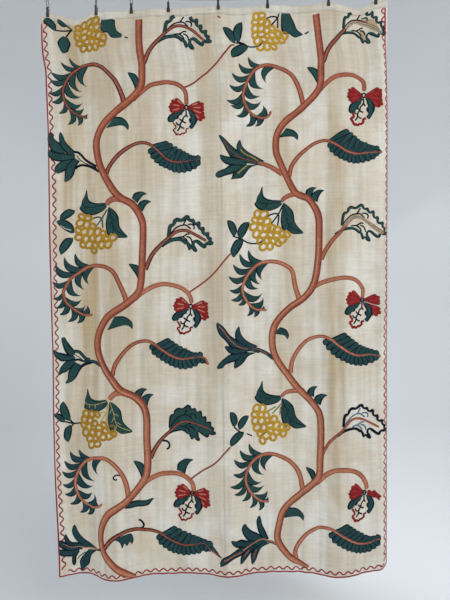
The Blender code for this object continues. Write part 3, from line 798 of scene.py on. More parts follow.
# Fern fronds: tips of the leaflets on the outer and the inner side of each curled branch
fronds = {
    "left": [
        (0, [(98, 148), (67, 164), (28, 199), (22, 223), (15, 265), (24, 297), (45, 335), (73, 373),
             (104, 374)],
         [(141, 238), (122, 256), (117, 274), (116, 300), (120, 319), (131, 343)]),
        (1, [(96, 829), (60, 842), (28, 862), (16, 920), (14, 974), (23, 1005), (35, 1029), (62, 1053),
             (93, 1059)],
         [(140, 928), (120, 944), (103, 965), (100, 983), (112, 1007), (123, 1012)]),
        (2, [(95, 1510), (66, 1513), (46, 1543), (37, 1578), (35, 1621), (40, 1654), (54, 1689), (82, 1723),
             (109, 1729)],
         [(161, 1585), (141, 1608), (131, 1627), (124, 1653), (136, 1666), (137, 1691)]),
    ],
    "right": [
        (0, [(714, 174), (679, 192), (654, 226), (643, 266), (631, 317), (645, 334), (662, 366), (692, 401),
             (724, 402)],
         [(766, 258), (749, 276), (735, 302), (735, 324), (744, 347), (751, 372)]),
        (1, [(701, 835), (671, 847), (648, 881), (632, 919), (633, 963), (637, 995), (660, 1012),
             (689, 1049), (711, 1054)],
         [(744, 929), (734, 943), (725, 958), (733, 979), (736, 998), (739, 1029)]),
        (2, [(698, 1499), (666, 1516), (645, 1545), (641, 1591), (629, 1631), (642, 1659), (667, 1683),
             (693, 1709), (722, 1722)],
         [(754, 1587), (740, 1599), (729, 1625), (734, 1640), (746, 1662), (748, 1687)]),
    ],
}
frondLook = {
    "from": 0.36, "outerTo": 0.90, "innerTo": 0.93,  # shares of the branch that bear leaflets
    "outerBase": 33, "innerBase": 31, "longer": 8.0,  # mm
    # bends of the full side, then of the hollow side
    "outerBend": ((0.66, 0.72), (0.56, 0.36)),
    "innerBend": ((0.52, 0.74), (0.70, 0.44)),
    "even": 0.55,  # how far the leaflets keep to even spaces, and not to the nearest place
    "bare": 0.3,  # share of the branch that no leaflet starts from
    "fills": {"left": ("green", "pine", "deep"), "right": ("green",) * 3},  # from the top down
}


def spineOf(side, branch):
    spine = curveThrough(branches[side][branch][3])
    return spine, walkedAlong(spine)


def alongSpine(spine, walked, at):
    return np.array([np.interp(at, walked, spine[:, 0]), np.interp(at, walked, spine[:, 1])])


def layLeaflet(work, spine, walked, at, base, tip, bend, lift, fill):
    at = at * walked[-1]
    middle, ahead, behind = (alongSpine(spine, walked, place) for place in (at, at + base / 2, at - base / 2))
    reach = np.array(tip, float) - middle
    reach = reach * (1 + frondLook["longer"] / np.linalg.norm(reach))
    tip = middle + reach
    way = ahead - behind
    way = way / np.linalg.norm(way)
    aside = np.array([-reach[1], reach[0]])
    if aside @ way < 0:
        aside = -aside
    t = np.linspace(0, 1, 12)[:, None]
    outer = middle + reach * bend[0][0] + aside * bend[0][1]
    inner = middle + reach * bend[1][0] + aside * bend[1][1]
    edgeA = (1 - t) ** 2 * ahead + 2 * t * (1 - t) * outer + t ** 2 * tip
    edgeB = (1 - t) ** 2 * behind + 2 * t * (1 - t) * inner + t ** 2 * tip
    layLeaf(work, edgeA, edgeB, fill=fill, edgeRows=2, lift=lift, straight=True, grow=1.4)


def stitchFronds(work, side):
    for branch, outerTips, innerTips in fronds[side]:
        fill = frondLook["fills"][side][branch]
        spine, walked = spineOf(side, branch)
        for where, tips in (("outer", outerTips), ("inner", innerTips)):
            until, base, bend = (frondLook[where + part] for part in ("To", "Base", "Bend"))
            for number, tip in enumerate(tips):
                near = np.linalg.norm(spine - np.array(tip), axis=1)
                # a leaflet springs from the spine a little before the place nearest to its tip
                at = frondLook["from"] + (until - frondLook["from"]) * number / (len(tips) - 1)
                borne = walked / walked[-1] > frondLook["bare"]
                nearest = walked[np.argmin(np.where(borne, near, np.inf))] / walked[-1]
                at = nearest + (at - nearest) * frondLook["even"]
                layLeaflet(work, spine, walked, at, base, tip, bend, 0.05 + 0.12 * (number % 2), fill)


# Feathered leaves: tips of the rounded lobes above and below the spine, which is the end of a branch
feathers = {
    "left": [
        (9, [(424, 457), (449, 470), (472, 483), (493, 495), (512, 507), (531, 508)],
         [(351, 491), (361, 510), (379, 528), (398, 539), (421, 550), (444, 560), (469, 561), (492, 557),
          (512, 550), (528, 537)]),
        (10, [(420, 1133), (444, 1150), (468, 1161), (488, 1173), (508, 1182), (530, 1182)],
         [(346, 1161), (354, 1179), (373, 1194), (391, 1208), (414, 1222), (438, 1232), (461, 1237),
          (483, 1235), (505, 1228), (525, 1217)]),
        (11, [(435, 1786), (461, 1796), (485, 1807), (508, 1816), (531, 1828), (560, 1838)],
         [(362, 1824), (372, 1844), (395, 1861), (415, 1872), (438, 1880), (463, 1884), (485, 1881),
          (508, 1877), (531, 1869), (551, 1864)]),
    ],
    "right": [
        (9, [(1038, 435), (1065, 454), (1083, 468), (1101, 475), (1120, 487), (1141, 493)],
         [(965, 493), (975, 513), (995, 530), (1017, 541), (1040, 548), (1063, 548), (1089, 545),
          (1110, 540), (1130, 532), (1139, 523)]),
        (10, [(1027, 1129), (1054, 1149), (1080, 1166), (1100, 1176), (1120, 1185), (1141, 1194)],
         [(947, 1161), (959, 1180), (979, 1199), (1000, 1213), (1023, 1225), (1048, 1234), (1074, 1238),
          (1096, 1237), (1116, 1231), (1135, 1221)]),
        (11, [(1031, 1774), (1062, 1796), (1086, 1811), (1106, 1821), (1126, 1827), (1146, 1825)],
         [(960, 1811), (972, 1828), (992, 1841), (1012, 1853), (1036, 1864), (1061, 1874), (1085, 1878),
          (1109, 1876), (1128, 1869), (1144, 1857)]),
    ],
}


# Pairs are for the lobes above and below the spine
featherLook = {
    "lobes": (9, 12), "widths": (1.45, 1.12),  # how many, and how wide against the space between them
    "slants": ((30.0, 26.0), (-10.0, 16.0)),  # mm by which the first and the last lobe lean forward
    "base": 0.70,  # width of a lobe at the spine, as a share of its full width
    "underlay": 0.80,  # how far the flat layer reaches, as a share of a lobe
    "tipGap": 4, "footBack": 6,  # mm from the last lobe to the tip, and from the first one back
}
fingerLook = {"fullFrom": 0.6, "round": 0.5, "least": 0.02}  # shares of the length and of the width


def layFinger(work, base, tip, baseWidth, width, lift, shades):
    base, tip = np.array(base, float), np.array(tip, float)
    length = np.linalg.norm(tip - base)
    count = max(4, int(round(length / stitching["step"])) + 1)
    share = np.linspace(0, 1, count)
    line = base + (tip - base) * share[:, None]
    wide = np.interp(share, [0, fingerLook["fullFrom"], 1], [baseWidth, width, width])
    left = np.minimum(1, length * (1 - share) / (width * fingerLook["round"]))
    wide = wide * np.sqrt(np.clip(1 - (1 - left) ** 2, fingerLook["least"], 1))
    way = (tip - base) / length
    aside = np.array([-way[1], way[0]]) * wide[:, None] / 2
    layPatch(work, line - aside, line + aside, shades, lift)


def stitchFeathers(work, side):
    for branch, upper, lower in feathers[side]:
        spine, walked = spineOf(side, branch)
        for part, drawn, slants in zip((0, 1), (upper, lower), featherLook["slants"]):
            tips = evenly(curveThrough(drawn), featherLook["lobes"][part])
            apart = np.mean(np.linalg.norm(np.diff(tips, axis=0), axis=1))
            bases = []
            for number, tip in enumerate(tips):
                nearest = walked[np.argmin(np.linalg.norm(spine - tip, axis=1))]
                lean = slants[0] + (slants[1] - slants[0]) * number / (len(tips) - 1)
                last = walked[-1] - featherLook["tipGap"]
                bases.append(alongSpine(spine, walked, min(nearest - lean, last)))
            bases = np.array(bases)
            # one flat layer is laid first, so that no cloth shows between the lobes
            reach = bases + (tips - bases) * featherLook["underlay"]
            first = walked[np.argmin(np.linalg.norm(spine - bases[0], axis=1))]
            foot = alongSpine(spine, walked, first - featherLook["footBack"])
            under = np.vstack([foot, reach, spine[-1]])
            layLeaf(work, under, np.vstack([foot, bases, spine[-1]]), "navy", "pine", lift=0.4, height=0.4)
            for number, (base, tip) in enumerate(zip(bases, tips)):
                wide = apart * featherLook["widths"][part]
                lift = 0.35 + 0.15 * (number % 2)
                layFinger(work, base, tip, wide * featherLook["base"], wide, lift,
                          rowShades(5, "navy", "pine"))


# Large toothed leaves: one shape in mm from its foot
# The outline goes over the top to the tip in three strokes and comes back below in the fourth
toothedLeaf = {
    "rise": [(0, 0), (2, -19), (4, -34), (9, -43), (19, -45), (22, -57), (33, -64)],
    "crown": [(33, -64), (48, -61), (58, -67), (65, -72), (73, -70), (76, -61), (83, -58), (89, -60)],
    "rim": [(89, -60), (93, -51), (98, -45), (108, -50), (111, -45), (111, -34), (114, -28), (124, -30),
            (126, -21), (124, -12), (132, -10), (142, -11), (141, -1), (144, 5), (151, 8), (150, 15),
            (147, 21), (156, 22), (157, 28)],
    "under": [(157, 28), (145, 29), (133, 27), (132, 34), (127, 39), (116, 33), (106, 24), (99, 18), (92, 19),
              (90, 30), (96, 40), (99, 50), (90, 47), (84, 39), (78, 39), (75, 44), (71, 34), (67, 24),
              (60, 22), (50, 14), (38, 10), (25, 11), (11, 14), (-4, 21), (-20, 32)],
    "veins": [[(5, -5), (15, -17), (29, -32), (43, -39), (54, -41), (65, -40), (80, -27)],
              [(54, -42), (60, -52), (65, -60)], [(71, -42), (82, -43), (92, -36), (90, -25)],
              [(33, 1), (48, -1), (55, 1), (65, 9), (69, 19)], [(53, -2), (60, -5), (67, -10), (76, -9)],
              [(65, -2), (76, 2), (82, 11), (84, 20)]],
    "beige": [([(78, -35), (89, -39), (107, -25), (120, -20), (126, -4), (138, 18), (141, 34)],
               [(77, -28), (87, -13), (100, 2), (117, 12), (129, 20), (138, 29), (141, 34)]),
              ([(70, -6), (83, 9), (89, 24), (94, 36), (91, 47)],
               [(63, -2), (68, 12), (72, 24), (75, 35), (85, 40)])],
    "rib": [(9, 2), (22, -16), (38, -29), (56, -32), (74, -24), (91, -13), (108, 2), (126, 16), (144, 28)],
}

# Where each one lies, its turn in degrees, its stretch both ways, and how it is worked
toothed = {
    "left": [
        {"at": (427, 84), "turn": 3.7, "stretch": (1.04, 1.0), "width": 12.5,
         "rows": "navy green green pine navy", "open": True},
        {"at": (414, 780), "turn": 0.0, "stretch": (1.0, 1.0), "width": 13.5,
         "rows": "navy green green green navy"},
        {"at": (412, 1437), "turn": -2.8, "stretch": (1.02, 1.0), "width": 5.0, "rows": "navy navy",
         "fill": "green"},
    ],
    "right": [
        {"at": (1036, 81), "turn": 0.9, "stretch": (0.92, 1.0), "width": 9.5, "rows": "navy green green",
         "open": True, "fill": "beige", "rib": "beige"},
        {"at": (1009, 759), "turn": 1.1, "stretch": (1.02, 1.01), "width": 9.5, "rows": "navy green green",
         "rib": "beige"},
        {"at": (1010, 1440), "turn": -1.2, "stretch": (1.01, 0.96), "width": 9.0,
         "rows": "navy navy navy navy",
         "vein": "slate"},
    ],
}


bandLook = {"out": 3.0, "softened": 6}  # mm that a band lies outside its line, and rounds of smoothing inside


def layBand(work, points, width, shades, inward, lift):
    # the outer edge keeps to the outline's teeth, and the inner edge is softer
    line = curveThrough(points)
    line = evenly(line, max(4, int(round(lengthOf(line) / stitching["fineStep"])) + 1))
    way = headings(line)
    aside = np.stack([-way[:, 1], way[:, 0]], axis=1)
    if np.mean(np.sum(aside * (np.array(inward) - line), axis=1)) < 0:
        aside = -aside
    outer, inner = line - aside * bandLook["out"], line + aside * (width - bandLook["out"])
    for _ in range(bandLook["softened"]):
        inner[1:-1] = inner[1:-1] * 0.5 + (inner[:-2] + inner[2:]) * 0.25
    layPatch(work, outer, inner, shades, lift)


def stitchToothed(work, side):
    for leaf in toothed[side]:
        turn = math.radians(leaf["turn"])
        spin = np.array([[math.cos(turn), math.sin(turn)], [-math.sin(turn), math.cos(turn)]])

        def laid(points):
            return (np.array(points, float) * leaf["stretch"]) @ spin + leaf["at"]

        rise, crown, rim, under = (laid(toothedLeaf[part]) for part in ("rise", "crown", "rim", "under"))
        if leaf.get("fill") == "green":
            over = np.vstack([rise, crown[1:], rim[1:]])
            layLeaf(work, over, under[:-1][::-1], edge="green", lift=0.4, height=0.6)
        if leaf.get("fill") == "beige":
            for a, b in toothedLeaf["beige"]:
                layLeaf(work, laid(a), laid(b), edge="beige", fill="beige", lift=0.1, height=0.7)
        over = [rise, rim] if leaf.get("open") else [np.vstack([rise, crown[1:], rim[1:]])]
        for stroke in over + [under]:
            layBand(work, stroke, leaf["width"], leaf["rows"].split(), laid([(80, -8)])[0], 0.45)
        for vein in toothedLeaf["veins"]:
            layStem(work, laid(vein), 4.6, [leaf.get("vein", "navy")] * 2, lift=0.6)
        if "rib" in leaf:
            rows = [leaf["rib"]] * 2 + ["slate"] + [leaf["rib"]] * 2
            layStem(work, laid(toothedLeaf["rib"]), 10.0, rows, lift=1.1, ends=(3.0, 5.0))


# Spiky leaves that spring from one point, each blade by its two edges from the throat to the tip
spiky = {
    "left": [
        {"fill": "green",
         "blades": [([(55, 481), (19, 472), (5, 444), (2, 422), (10, 404)],
                     [(68, 476), (44, 448), (24, 432), (18, 417), (10, 404)]),
                    ([(77, 490), (58, 469), (46, 449), (43, 424), (46, 406)],
                     [(95, 477), (75, 457), (62, 442), (54, 424), (46, 406)]),
                    ([(93, 495), (57, 506), (27, 504), (8, 491), (0, 477), (6, 465)],
                     [(94, 485), (58, 482), (31, 479), (19, 477), (6, 465)]),
                    ([(87, 494), (54, 506), (34, 519), (25, 534), (30, 549)],
                     [(93, 502), (76, 524), (58, 538), (42, 546), (30, 549)]),
                    ([(93, 495), (70, 517), (62, 538), (60, 559), (58, 579)],
                     [(108, 505), (95, 525), (86, 551), (72, 569), (58, 579)])],
         "strands": [("strand", 8, [(87, 473), (104, 476), (117, 487), (125, 497), (144, 513), (168, 528)]),
                     ("strand", 8, [(93, 535), (103, 525), (120, 520), (145, 527), (161, 536), (178, 547)]),
                     ("strand", 3.2, [(99, 485), (112, 503), (140, 520), (170, 535)])],
         "veins": []},
        {"fill": "green",
         "blades": [([(72, 1185), (55, 1170), (44, 1144), (39, 1119), (43, 1113)],
                     [(82, 1170), (64, 1145), (53, 1127), (47, 1115), (43, 1113)]),
                    ([(81, 1186), (58, 1176), (39, 1170), (20, 1166), (5, 1157)],
                     [(81, 1192), (53, 1194), (35, 1194), (19, 1184), (11, 1177), (5, 1157)]),
                    ([(84, 1192), (57, 1195), (37, 1214), (29, 1226), (25, 1245)],
                     [(75, 1211), (61, 1223), (48, 1232), (36, 1236), (25, 1245)]),
                    ([(81, 1202), (64, 1225), (58, 1241), (56, 1260), (48, 1272)],
                     [(106, 1214), (93, 1234), (82, 1253), (68, 1266), (48, 1273)])],
         "strands": [("strand", 11, [(74, 1163), (94, 1166), (105, 1176), (118, 1190), (134, 1195)]),
                     ("strand", 3.2, [(76, 1173), (94, 1185), (107, 1196)]),
                     ("strand", 7, [(69, 1211), (74, 1200), (89, 1193), (106, 1198), (123, 1201)]),
                     ("strand", 3.2, [(81, 1218), (95, 1208)]),
                     ("strand", 10, [(90, 1234), (103, 1217), (120, 1208), (141, 1203)]),
                     ("stalk", 11, [(111, 1200), (141, 1200), (156, 1204), (174, 1215)])],
         "veins": []},
        {"fill": "deep",
         "blades": [([(88, 1855), (66, 1832), (54, 1809), (51, 1788), (58, 1770)],
                     [(143, 1848), (107, 1836), (80, 1816), (66, 1795), (58, 1770)]),
                    ([(81, 1854), (40, 1844), (27, 1832), (23, 1814), (26, 1799)],
                     [(85, 1842), (63, 1836), (44, 1830), (33, 1816), (26, 1799)]),
                    ([(82, 1849), (49, 1843), (24, 1831), (12, 1822), (4, 1820)],
                     [(81, 1859), (39, 1859), (20, 1851), (8, 1839), (3, 1822)]),
                    ([(71, 1860), (39, 1856), (17, 1855), (0, 1849)],
                     [(68, 1868), (48, 1878), (22, 1876), (8, 1868), (0, 1849)]),
                    ([(53, 1867), (47, 1884), (47, 1904), (52, 1915)],
                     [(68, 1868), (57, 1884), (55, 1904), (52, 1915)]),
                    ([(106, 1860), (82, 1885), (72, 1903), (74, 1922), (78, 1938)],
                     [(140, 1855), (112, 1880), (103, 1909), (84, 1927), (78, 1938)])],
         "strands": [("strand", 3.2, [(95, 1868), (75, 1881), (62, 1893)]),
                     ("stalk", 8, [(132, 1854), (162, 1849)])],
         "veins": [("apricot", 3.6, [(155, 1848), (99, 1855), (72, 1850), (46, 1847), (27, 1839),
                                     (12, 1830)])]},
    ],
    "right": [
        {"fill": "green",
         "blades": [([(685, 523), (641, 517), (623, 494), (610, 468), (595, 439)],
                     [(685, 506), (653, 489), (633, 474), (615, 455), (595, 439)]),
                    ([(695, 523), (665, 500), (658, 486), (659, 471), (668, 454)],
                     [(751, 531), (705, 502), (687, 490), (674, 475), (668, 454)]),
                    ([(681, 541), (632, 541), (609, 530), (598, 508)],
                     [(681, 521), (639, 517), (616, 514), (598, 508)]),
                    ([(691, 530), (634, 544), (614, 557), (590, 566), (582, 573)],
                     [(691, 546), (644, 568), (617, 576), (594, 583), (582, 576)]),
                    ([(688, 540), (656, 559), (643, 574), (641, 583), (635, 591)],
                     [(726, 541), (701, 550), (686, 566), (671, 583), (648, 589)])],
         "strands": [("throat", 17, [(660, 520), (700, 527), (746, 538)])],
         "veins": [("yellow", 3.6, [(732, 530), (711, 515), (691, 506), (678, 498), (668, 485)]),
                   ("rust", 3.6, [(722, 534), (695, 523), (671, 518), (648, 503), (628, 486), (612, 459)]),
                   ("straw", 5, [(694, 540), (678, 553), (657, 572)])]},
        {"fill": "deep",
         "blades": [([(699, 1177), (652, 1171), (626, 1156), (612, 1137), (591, 1115), (582, 1090),
                      (582, 1076)], [(699, 1163), (671, 1151), (643, 1135), (622, 1119), (604, 1094),
                                     (582, 1076)]),
                    ([(696, 1170), (660, 1148), (647, 1132), (647, 1111), (658, 1091)],
                     [(723, 1163), (689, 1146), (671, 1130), (661, 1112), (658, 1091)]),
                    ([(688, 1169), (643, 1165), (624, 1160), (608, 1158)],
                     [(688, 1180), (648, 1185), (625, 1179), (615, 1169), (608, 1158)]),
                    ([(685, 1178), (634, 1185), (608, 1200), (590, 1217), (580, 1233)],
                     [(685, 1197), (641, 1208), (609, 1218), (599, 1229), (580, 1233)]),
                    ([(688, 1181), (657, 1199), (643, 1213), (641, 1234)],
                     [(716, 1184), (688, 1195), (674, 1212), (659, 1225), (641, 1234)])],
         "strands": [("throat", 17, [(664, 1162), (700, 1170), (730, 1178)]),
                     ("stalk", 12, [(703, 1172), (732, 1177), (755, 1188), (776, 1205)])],
         "veins": [("salmon", 3.8, [(692, 1171), (660, 1164), (640, 1149), (622, 1131), (604, 1104),
                                    (588, 1087)]),
                   ("salmon", 3.2, [(710, 1168), (734, 1178), (760, 1192)]),
                   ("salmon", 3.0, [(702, 1160), (710, 1169), (701, 1179)])]},
        {"fill": "deep",
         "blades": [([(739, 1833), (723, 1805), (717, 1781), (717, 1762), (724, 1747)],
                     [(754, 1830), (741, 1798), (732, 1780), (728, 1763), (724, 1747)]),
                    ([(729, 1836), (688, 1829), (670, 1808), (663, 1785), (672, 1769)],
                     [(736, 1825), (718, 1811), (696, 1798), (681, 1783), (672, 1769)]),
                    ([(718, 1833), (681, 1831), (658, 1822), (640, 1826), (624, 1822)],
                     [(710, 1847), (666, 1848), (641, 1843), (631, 1834), (624, 1823)]),
                    ([(747, 1831), (692, 1839), (654, 1850), (627, 1866), (596, 1884), (585, 1902)],
                     [(750, 1842), (710, 1854), (669, 1869), (632, 1883), (605, 1900), (586, 1911)]),
                    ([(721, 1845), (680, 1862), (660, 1878), (656, 1906)],
                     [(721, 1850), (695, 1869), (676, 1889), (656, 1906)]),
                    ([(734, 1842), (707, 1861), (695, 1878), (696, 1898), (698, 1915)],
                     [(759, 1843), (730, 1857), (718, 1875), (710, 1896), (698, 1915)])],
         "strands": [("stalk", 9, [(748, 1835), (763, 1840), (789, 1851)])],
         "veins": [("apricot", 4, [(788, 1850), (763, 1839), (750, 1833), (736, 1829), (714, 1835),
                                   (688, 1848), (662, 1862)]),
                   ("salmon", 5.5, [(662, 1862), (632, 1873), (598, 1892)]),
                   ("salmon", 5, [(690, 1859), (666, 1883)]),
                   ("salmon", 5, [(715, 1859), (706, 1878), (703, 1897)])]},
    ],
}


def stitchSpiky(work, side):
    for leaf in spiky[side]:
        for kind, width, points in leaf["strands"]:
            shades = ["navy"] * max(1, round(width / stitching["row"]))
            if kind == "stalk" or width > 10:
                shades = rowShades(max(4, len(shades)), "navy", leaf["fill"])
            layStem(work, points, width, shades, lift=0.2, ends=(3.0, 0))
        for number, (over, under) in enumerate(leaf["blades"]):
            layLeaf(work, over, under, fill=leaf["fill"], edgeRows=2, lift=0.3 + 0.2 * (number % 3), grow=2.2)
        for shade, width, points in leaf["veins"]:
            layStem(work, points, width, [shade] * max(1, round(width / stitching["veinRow"])), lift=0.85,
                    ends=(3.0, 3.0))


def stitchLeaves(side):
    work = startWork("leaves" + side.title())
    for shape, base, tip, *mirror in plainLeaves[side]:
        a, b = leafShapes[shape]
        layLeaf(work, placed(base, tip, a, bool(mirror)), placed(base, tip, b, bool(mirror)), edgeRows=2,
                lift=0.15, grow=2.0)
        for vein in leafVeins.get(shape, []):
            shade = "straw" if (side, base[1]) in strawVeined else "navy"
            layStem(work, placed(base, tip, vein), 2.6, [shade], lift=1.15)
    layLeaf(work, *cutLeaves[side], edgeRows=2, lift=0.15)
    if side == "left":
        layLeaf(work, *combLeaf, fill="pine", lift=0.3)
    stitchFronds(work, side)
    stitchFeathers(work, side)
    stitchToothed(work, side)
    stitchSpiky(work, side)
    for shade, width, points in threads[side]:
        layStem(work, points, width * threadFullness, [shade] * 2, lift=0.3)
    return finishWork(work)


# Flowers that hang from the branch ends: one shape in mm from the knot, worked a little differently each time
flowerShape = {
    # degrees, mm; 90 is down
    "leftFan": [(-140, 50), (-153, 58), (-166, 59), (-177, 62), (171, 60), (161, 56)],
    "rightFan": [(-17, 52), (-7, 62), (4, 62), (13, 63)],
    "rightLobe": [(24, 68), (33, 76), (43, 72), (52, 60)],
    "finger": 13.0, "fingerBase": 0.32, "fingerFrom": 5,  # mm wide, its share at the base, mm from the knot
    "streak": (0.34, 0.84), "streakWidths": (3.0, 5.5, 5.0),
    "vein": 5.0, "knot": (6.0, 4.6), "centre": (3.5, 6.0),  # mm
    "leftSepal": ([(-8, 6), (-17, 11), (-30, 16), (-45, 18), (-57, 24), (-63, 33), (-65, 40), (-61, 48),
                   (-50, 49)],
                  [(-6, 10), (-13, 15), (-18, 24), (-26, 28), (-30, 37), (-41, 40), (-45, 46), (-50, 49)]),
    "rightSepal": ([(10, 8), (21, 15), (29, 25), (34, 37), (34, 49), (28, 59), (22, 68), (15, 74), (9, 70)],
                   [(6, 10), (9, 15), (11, 25), (15, 35), (9, 40), (10, 50), (15, 57), (13, 62), (8, 66),
                    (9, 70)]),
    "veins": [[(-2, 9), (-2, 25), (-12, 36), (-15, 47), (-20, 52), (-23, 59), (-25, 70), (-33, 80)],
              [(-2, 25), (4, 34)], [(-25, 38), (-15, 47), (-3, 53)], [(-36, 50), (-32, 58), (-24, 59)],
              [(-23, 64), (-15, 70), (-9, 70)]],
    "fringe": [(-48, 50), (-38, 64), (-39, 70), (-48, 75), (-42, 83), (-35, 95), (-32, 89), (-24, 94),
               (-17, 88), (-12, 89), (-6, 85), (-2, 83), (-4, 75), (6, 71)],
    "droopingFan": ([(9, 2), (14, -6), (23, -4), (27, 1), (37, -4), (42, 2), (51, 10), (60, 18), (61, 22)],
                    [(9, 5), (19, 13), (31, 21), (42, 23), (52, 32), (56, 31), (55, 23), (61, 22)]),
}

flowers = {
    "left": [
        {"knot": (486, 337), "fringe": 5.0, "centre": "yellow"},
        {"knot": (490, 1019), "fringe": 6.5, "centre": "cream"},
        {"knot": (488, 1666), "fringe": 6.0, "centre": "green"},
    ],
    "right": [
        {"knot": (1092, 310), "fringe": 8.5, "centre": "cream", "longer": 1.13, "turn": -12,
         "streak": "rose"},
        {"knot": (1083, 1013), "fringe": 8.0, "centre": "slate", "low": 7, "streak": "rose"},
        {"knot": (1088, 1670), "fringe": 7.5, "centre": "slate", "drooping": True, "streak": "rose"},
    ],
}
berryCentres = {
    "left": [
        ("gold", [(127, 32), (148, 30), (170, 28), (191, 30), (126, 48), (150, 52), (175, 46), (196, 50),
                  (123, 66), (147, 72), (169, 64), (133, 88), (157, 92), (182, 76), (203, 80), (177, 94),
                  (145, 108), (167, 114), (195, 100), (219, 89), (188, 117), (212, 107)]),
        ("gold", [(115, 699), (137, 705), (110, 721), (132, 727), (153, 733), (102, 746), (124, 751),
                  (145, 753), (104, 770), (129, 776), (152, 775), (171, 754), (192, 760), (175, 777),
                  (205, 780), (226, 776), (139, 796), (162, 799), (118, 796), (186, 799), (210, 798),
                  (157, 817)]),
        ("gold", [(117, 1382), (139, 1383), (161, 1383), (111, 1402), (133, 1406), (108, 1422), (127, 1429),
                  (150, 1415), (167, 1429), (187, 1418), (115, 1447), (141, 1448), (167, 1449), (192, 1438),
                  (214, 1432), (206, 1455), (132, 1468), (154, 1467), (184, 1460), (221, 1447), (137, 1488),
                  (160, 1484)]),
    ],
    "right": [
        ("yellow", [(745, 36), (764, 34), (742, 55), (764, 56), (741, 76), (763, 78), (780, 64), (741, 98),
                    (762, 98), (780, 86), (747, 118), (769, 117), (798, 80), (798, 102), (818, 97),
                    (840, 104), (789, 122), (809, 120), (829, 119), (756, 139), (777, 141), (798, 142)]),
        ("yellow", [(726, 709), (748, 712), (718, 730), (738, 734), (757, 738), (713, 752), (735, 757),
                    (757, 760), (722, 777), (747, 781), (773, 760), (793, 765), (811, 780), (828, 782),
                    (770, 783), (791, 785), (811, 799), (735, 802), (757, 803), (779, 804), (796, 812),
                    (746, 821), (768, 821)]),
        ("yellow", [(719, 1376), (738, 1376), (714, 1396), (733, 1397), (752, 1399), (713, 1418),
                    (735, 1420), (757, 1418), (721, 1441), (743, 1441), (765, 1432), (786, 1435),
                    (777, 1414), (803, 1444), (821, 1443), (765, 1453), (787, 1457), (809, 1462),
                    (730, 1464), (752, 1468), (774, 1474), (738, 1487)]),
    ],
}
berryLook = {"radius": 9.8, "thread": 8.8, "uneven": 0.14, "spin": (7.1, 3.7), "cycle": 6.28}


def layFan(work, knot, fan, streak="pink", turn=0):
    for number, (angle, length) in enumerate(fan):
        angle = math.radians(angle + turn)
        way = np.array([math.cos(angle), math.sin(angle)])
        wide, lift = flowerShape["finger"], 0.1 + 0.15 * (number % 2)
        start, end = knot + way * flowerShape["fingerFrom"], knot + way * length
        layFinger(work, start, end, wide * flowerShape["fingerBase"], wide, lift, ["maroon"] + ["red"] * 4)
        if number % 2 == 0:
            reach = [knot + way * length * share for share in flowerShape["streak"]]
            layStem(work, reach, flowerShape["streakWidths"], [streak, streak], lift=0.55, ends=(4.0, 3.0))


def layRing(work, centre, radius, width, shades, lift, turn=0.0):
    angles = np.arange(10) * math.tau / 10
    circle = np.stack([np.cos(angles), (1 + 2 * berryLook["uneven"]) * np.sin(angles)], axis=1)
    spin = np.array([[math.cos(turn), math.sin(turn)], [-math.sin(turn), math.cos(turn)]])
    layStem(work, np.array(centre, float) + circle @ spin * radius, width, shades, lift=lift, closed=True)


def stitchFlowers(side):
    work = startWork("flowers" + side.title())
    for flower in flowers[side]:
        knot = np.array(flower["knot"], float)
        longer = (1.0, flower.get("longer", 1.0))
        for vein in flowerShape["veins"]:
            layStem(work, np.array(vein) * longer + knot, flowerShape["vein"], ["navy"] * 2, lift=0.35)
        fringe = curveThrough(flowerShape["fringe"]) * longer
        rows = max(1, round(flower["fringe"] / stitching["row"]))
        shades = (["maroon"] + ["red"] * 3)[:rows]
        layStem(work, fringe + knot, flower["fringe"], shades, lift=0.2, rawLine=True)
        streak, turn = flower.get("streak", "pink"), flower.get("turn", 0)
        layFan(work, knot, flowerShape["leftFan"], streak, turn)
        if "drooping" in flower:
            over, under = flowerShape["droopingFan"]
            layLeaf(work, np.array(over) + knot, np.array(under) + knot, edge="maroon", fill="red", lift=0.1)
        else:
            layFan(work, knot, flowerShape["rightFan"], streak)
            layFan(work, knot + (0, flower.get("low", 0)), flowerShape["rightLobe"], streak)
        for sepal, lean in (("leftSepal", turn), ("rightSepal", 0)):
            c, s = math.cos(math.radians(lean)), math.sin(math.radians(lean))
            over, under = (np.array(edge) * longer @ [[c, s], [-s, c]] + knot for edge in flowerShape[sepal])
            layLeaf(work, over, under, fill="pine", edgeRows=2, lift=1.2, grow=1.2)
        layRing(work, knot, *flowerShape["knot"], ["navy", "navy"], 0.9)
        reach, thick = flowerShape["centre"]
        layStem(work, [knot - (reach, 0), knot + (reach, 0)], thick, [flower["centre"]] * 2, lift=1.0)
    # berries are loops of yellow wool laid close together
    for shade, centres in berryCentres[side]:
        for x, y in centres:
            turn = (x * berryLook["spin"][0] + y * berryLook["spin"][1]) % berryLook["cycle"]
            radius = berryLook["radius"] * (1 + berryLook["uneven"] * math.sin(turn * 2))
            layRing(work, (x, y), radius, berryLook["thread"], [shade] * 3, 0.15 + 0.2 * (x % 2), turn)
    return finishWork(work)


# Border: a line near the edge and a waved thread inside it, down both sides and along the hem
border = {
    "line": 4.3, "thread": 4.8, "inset": 3.0, "rightInset": 8.0, "below": 2,
    # mm between waves, mm from the edge at both turns, and the wool
    "left": (31.6, 11.0, 23.0, "edging"), "right": (29.0, 8.0, 20.0, "rose"),
    "hem": (29.0, 10.5, 20.5, "edging"),
    # the waves drift: how far down in mm, and how far inward
    "drift": {"left": ((25, -2.5), (350, -2), (620, 4), (1200, 2), (1500, -1), (1947, 0)),
              "right": ((25, 0), (980, 0), (1120, 8), (1947, 8))},
    "hemFrom": 30, "stopsShort": 25, "step": 2.0,  # mm
    "points": 60,  # along each line
}


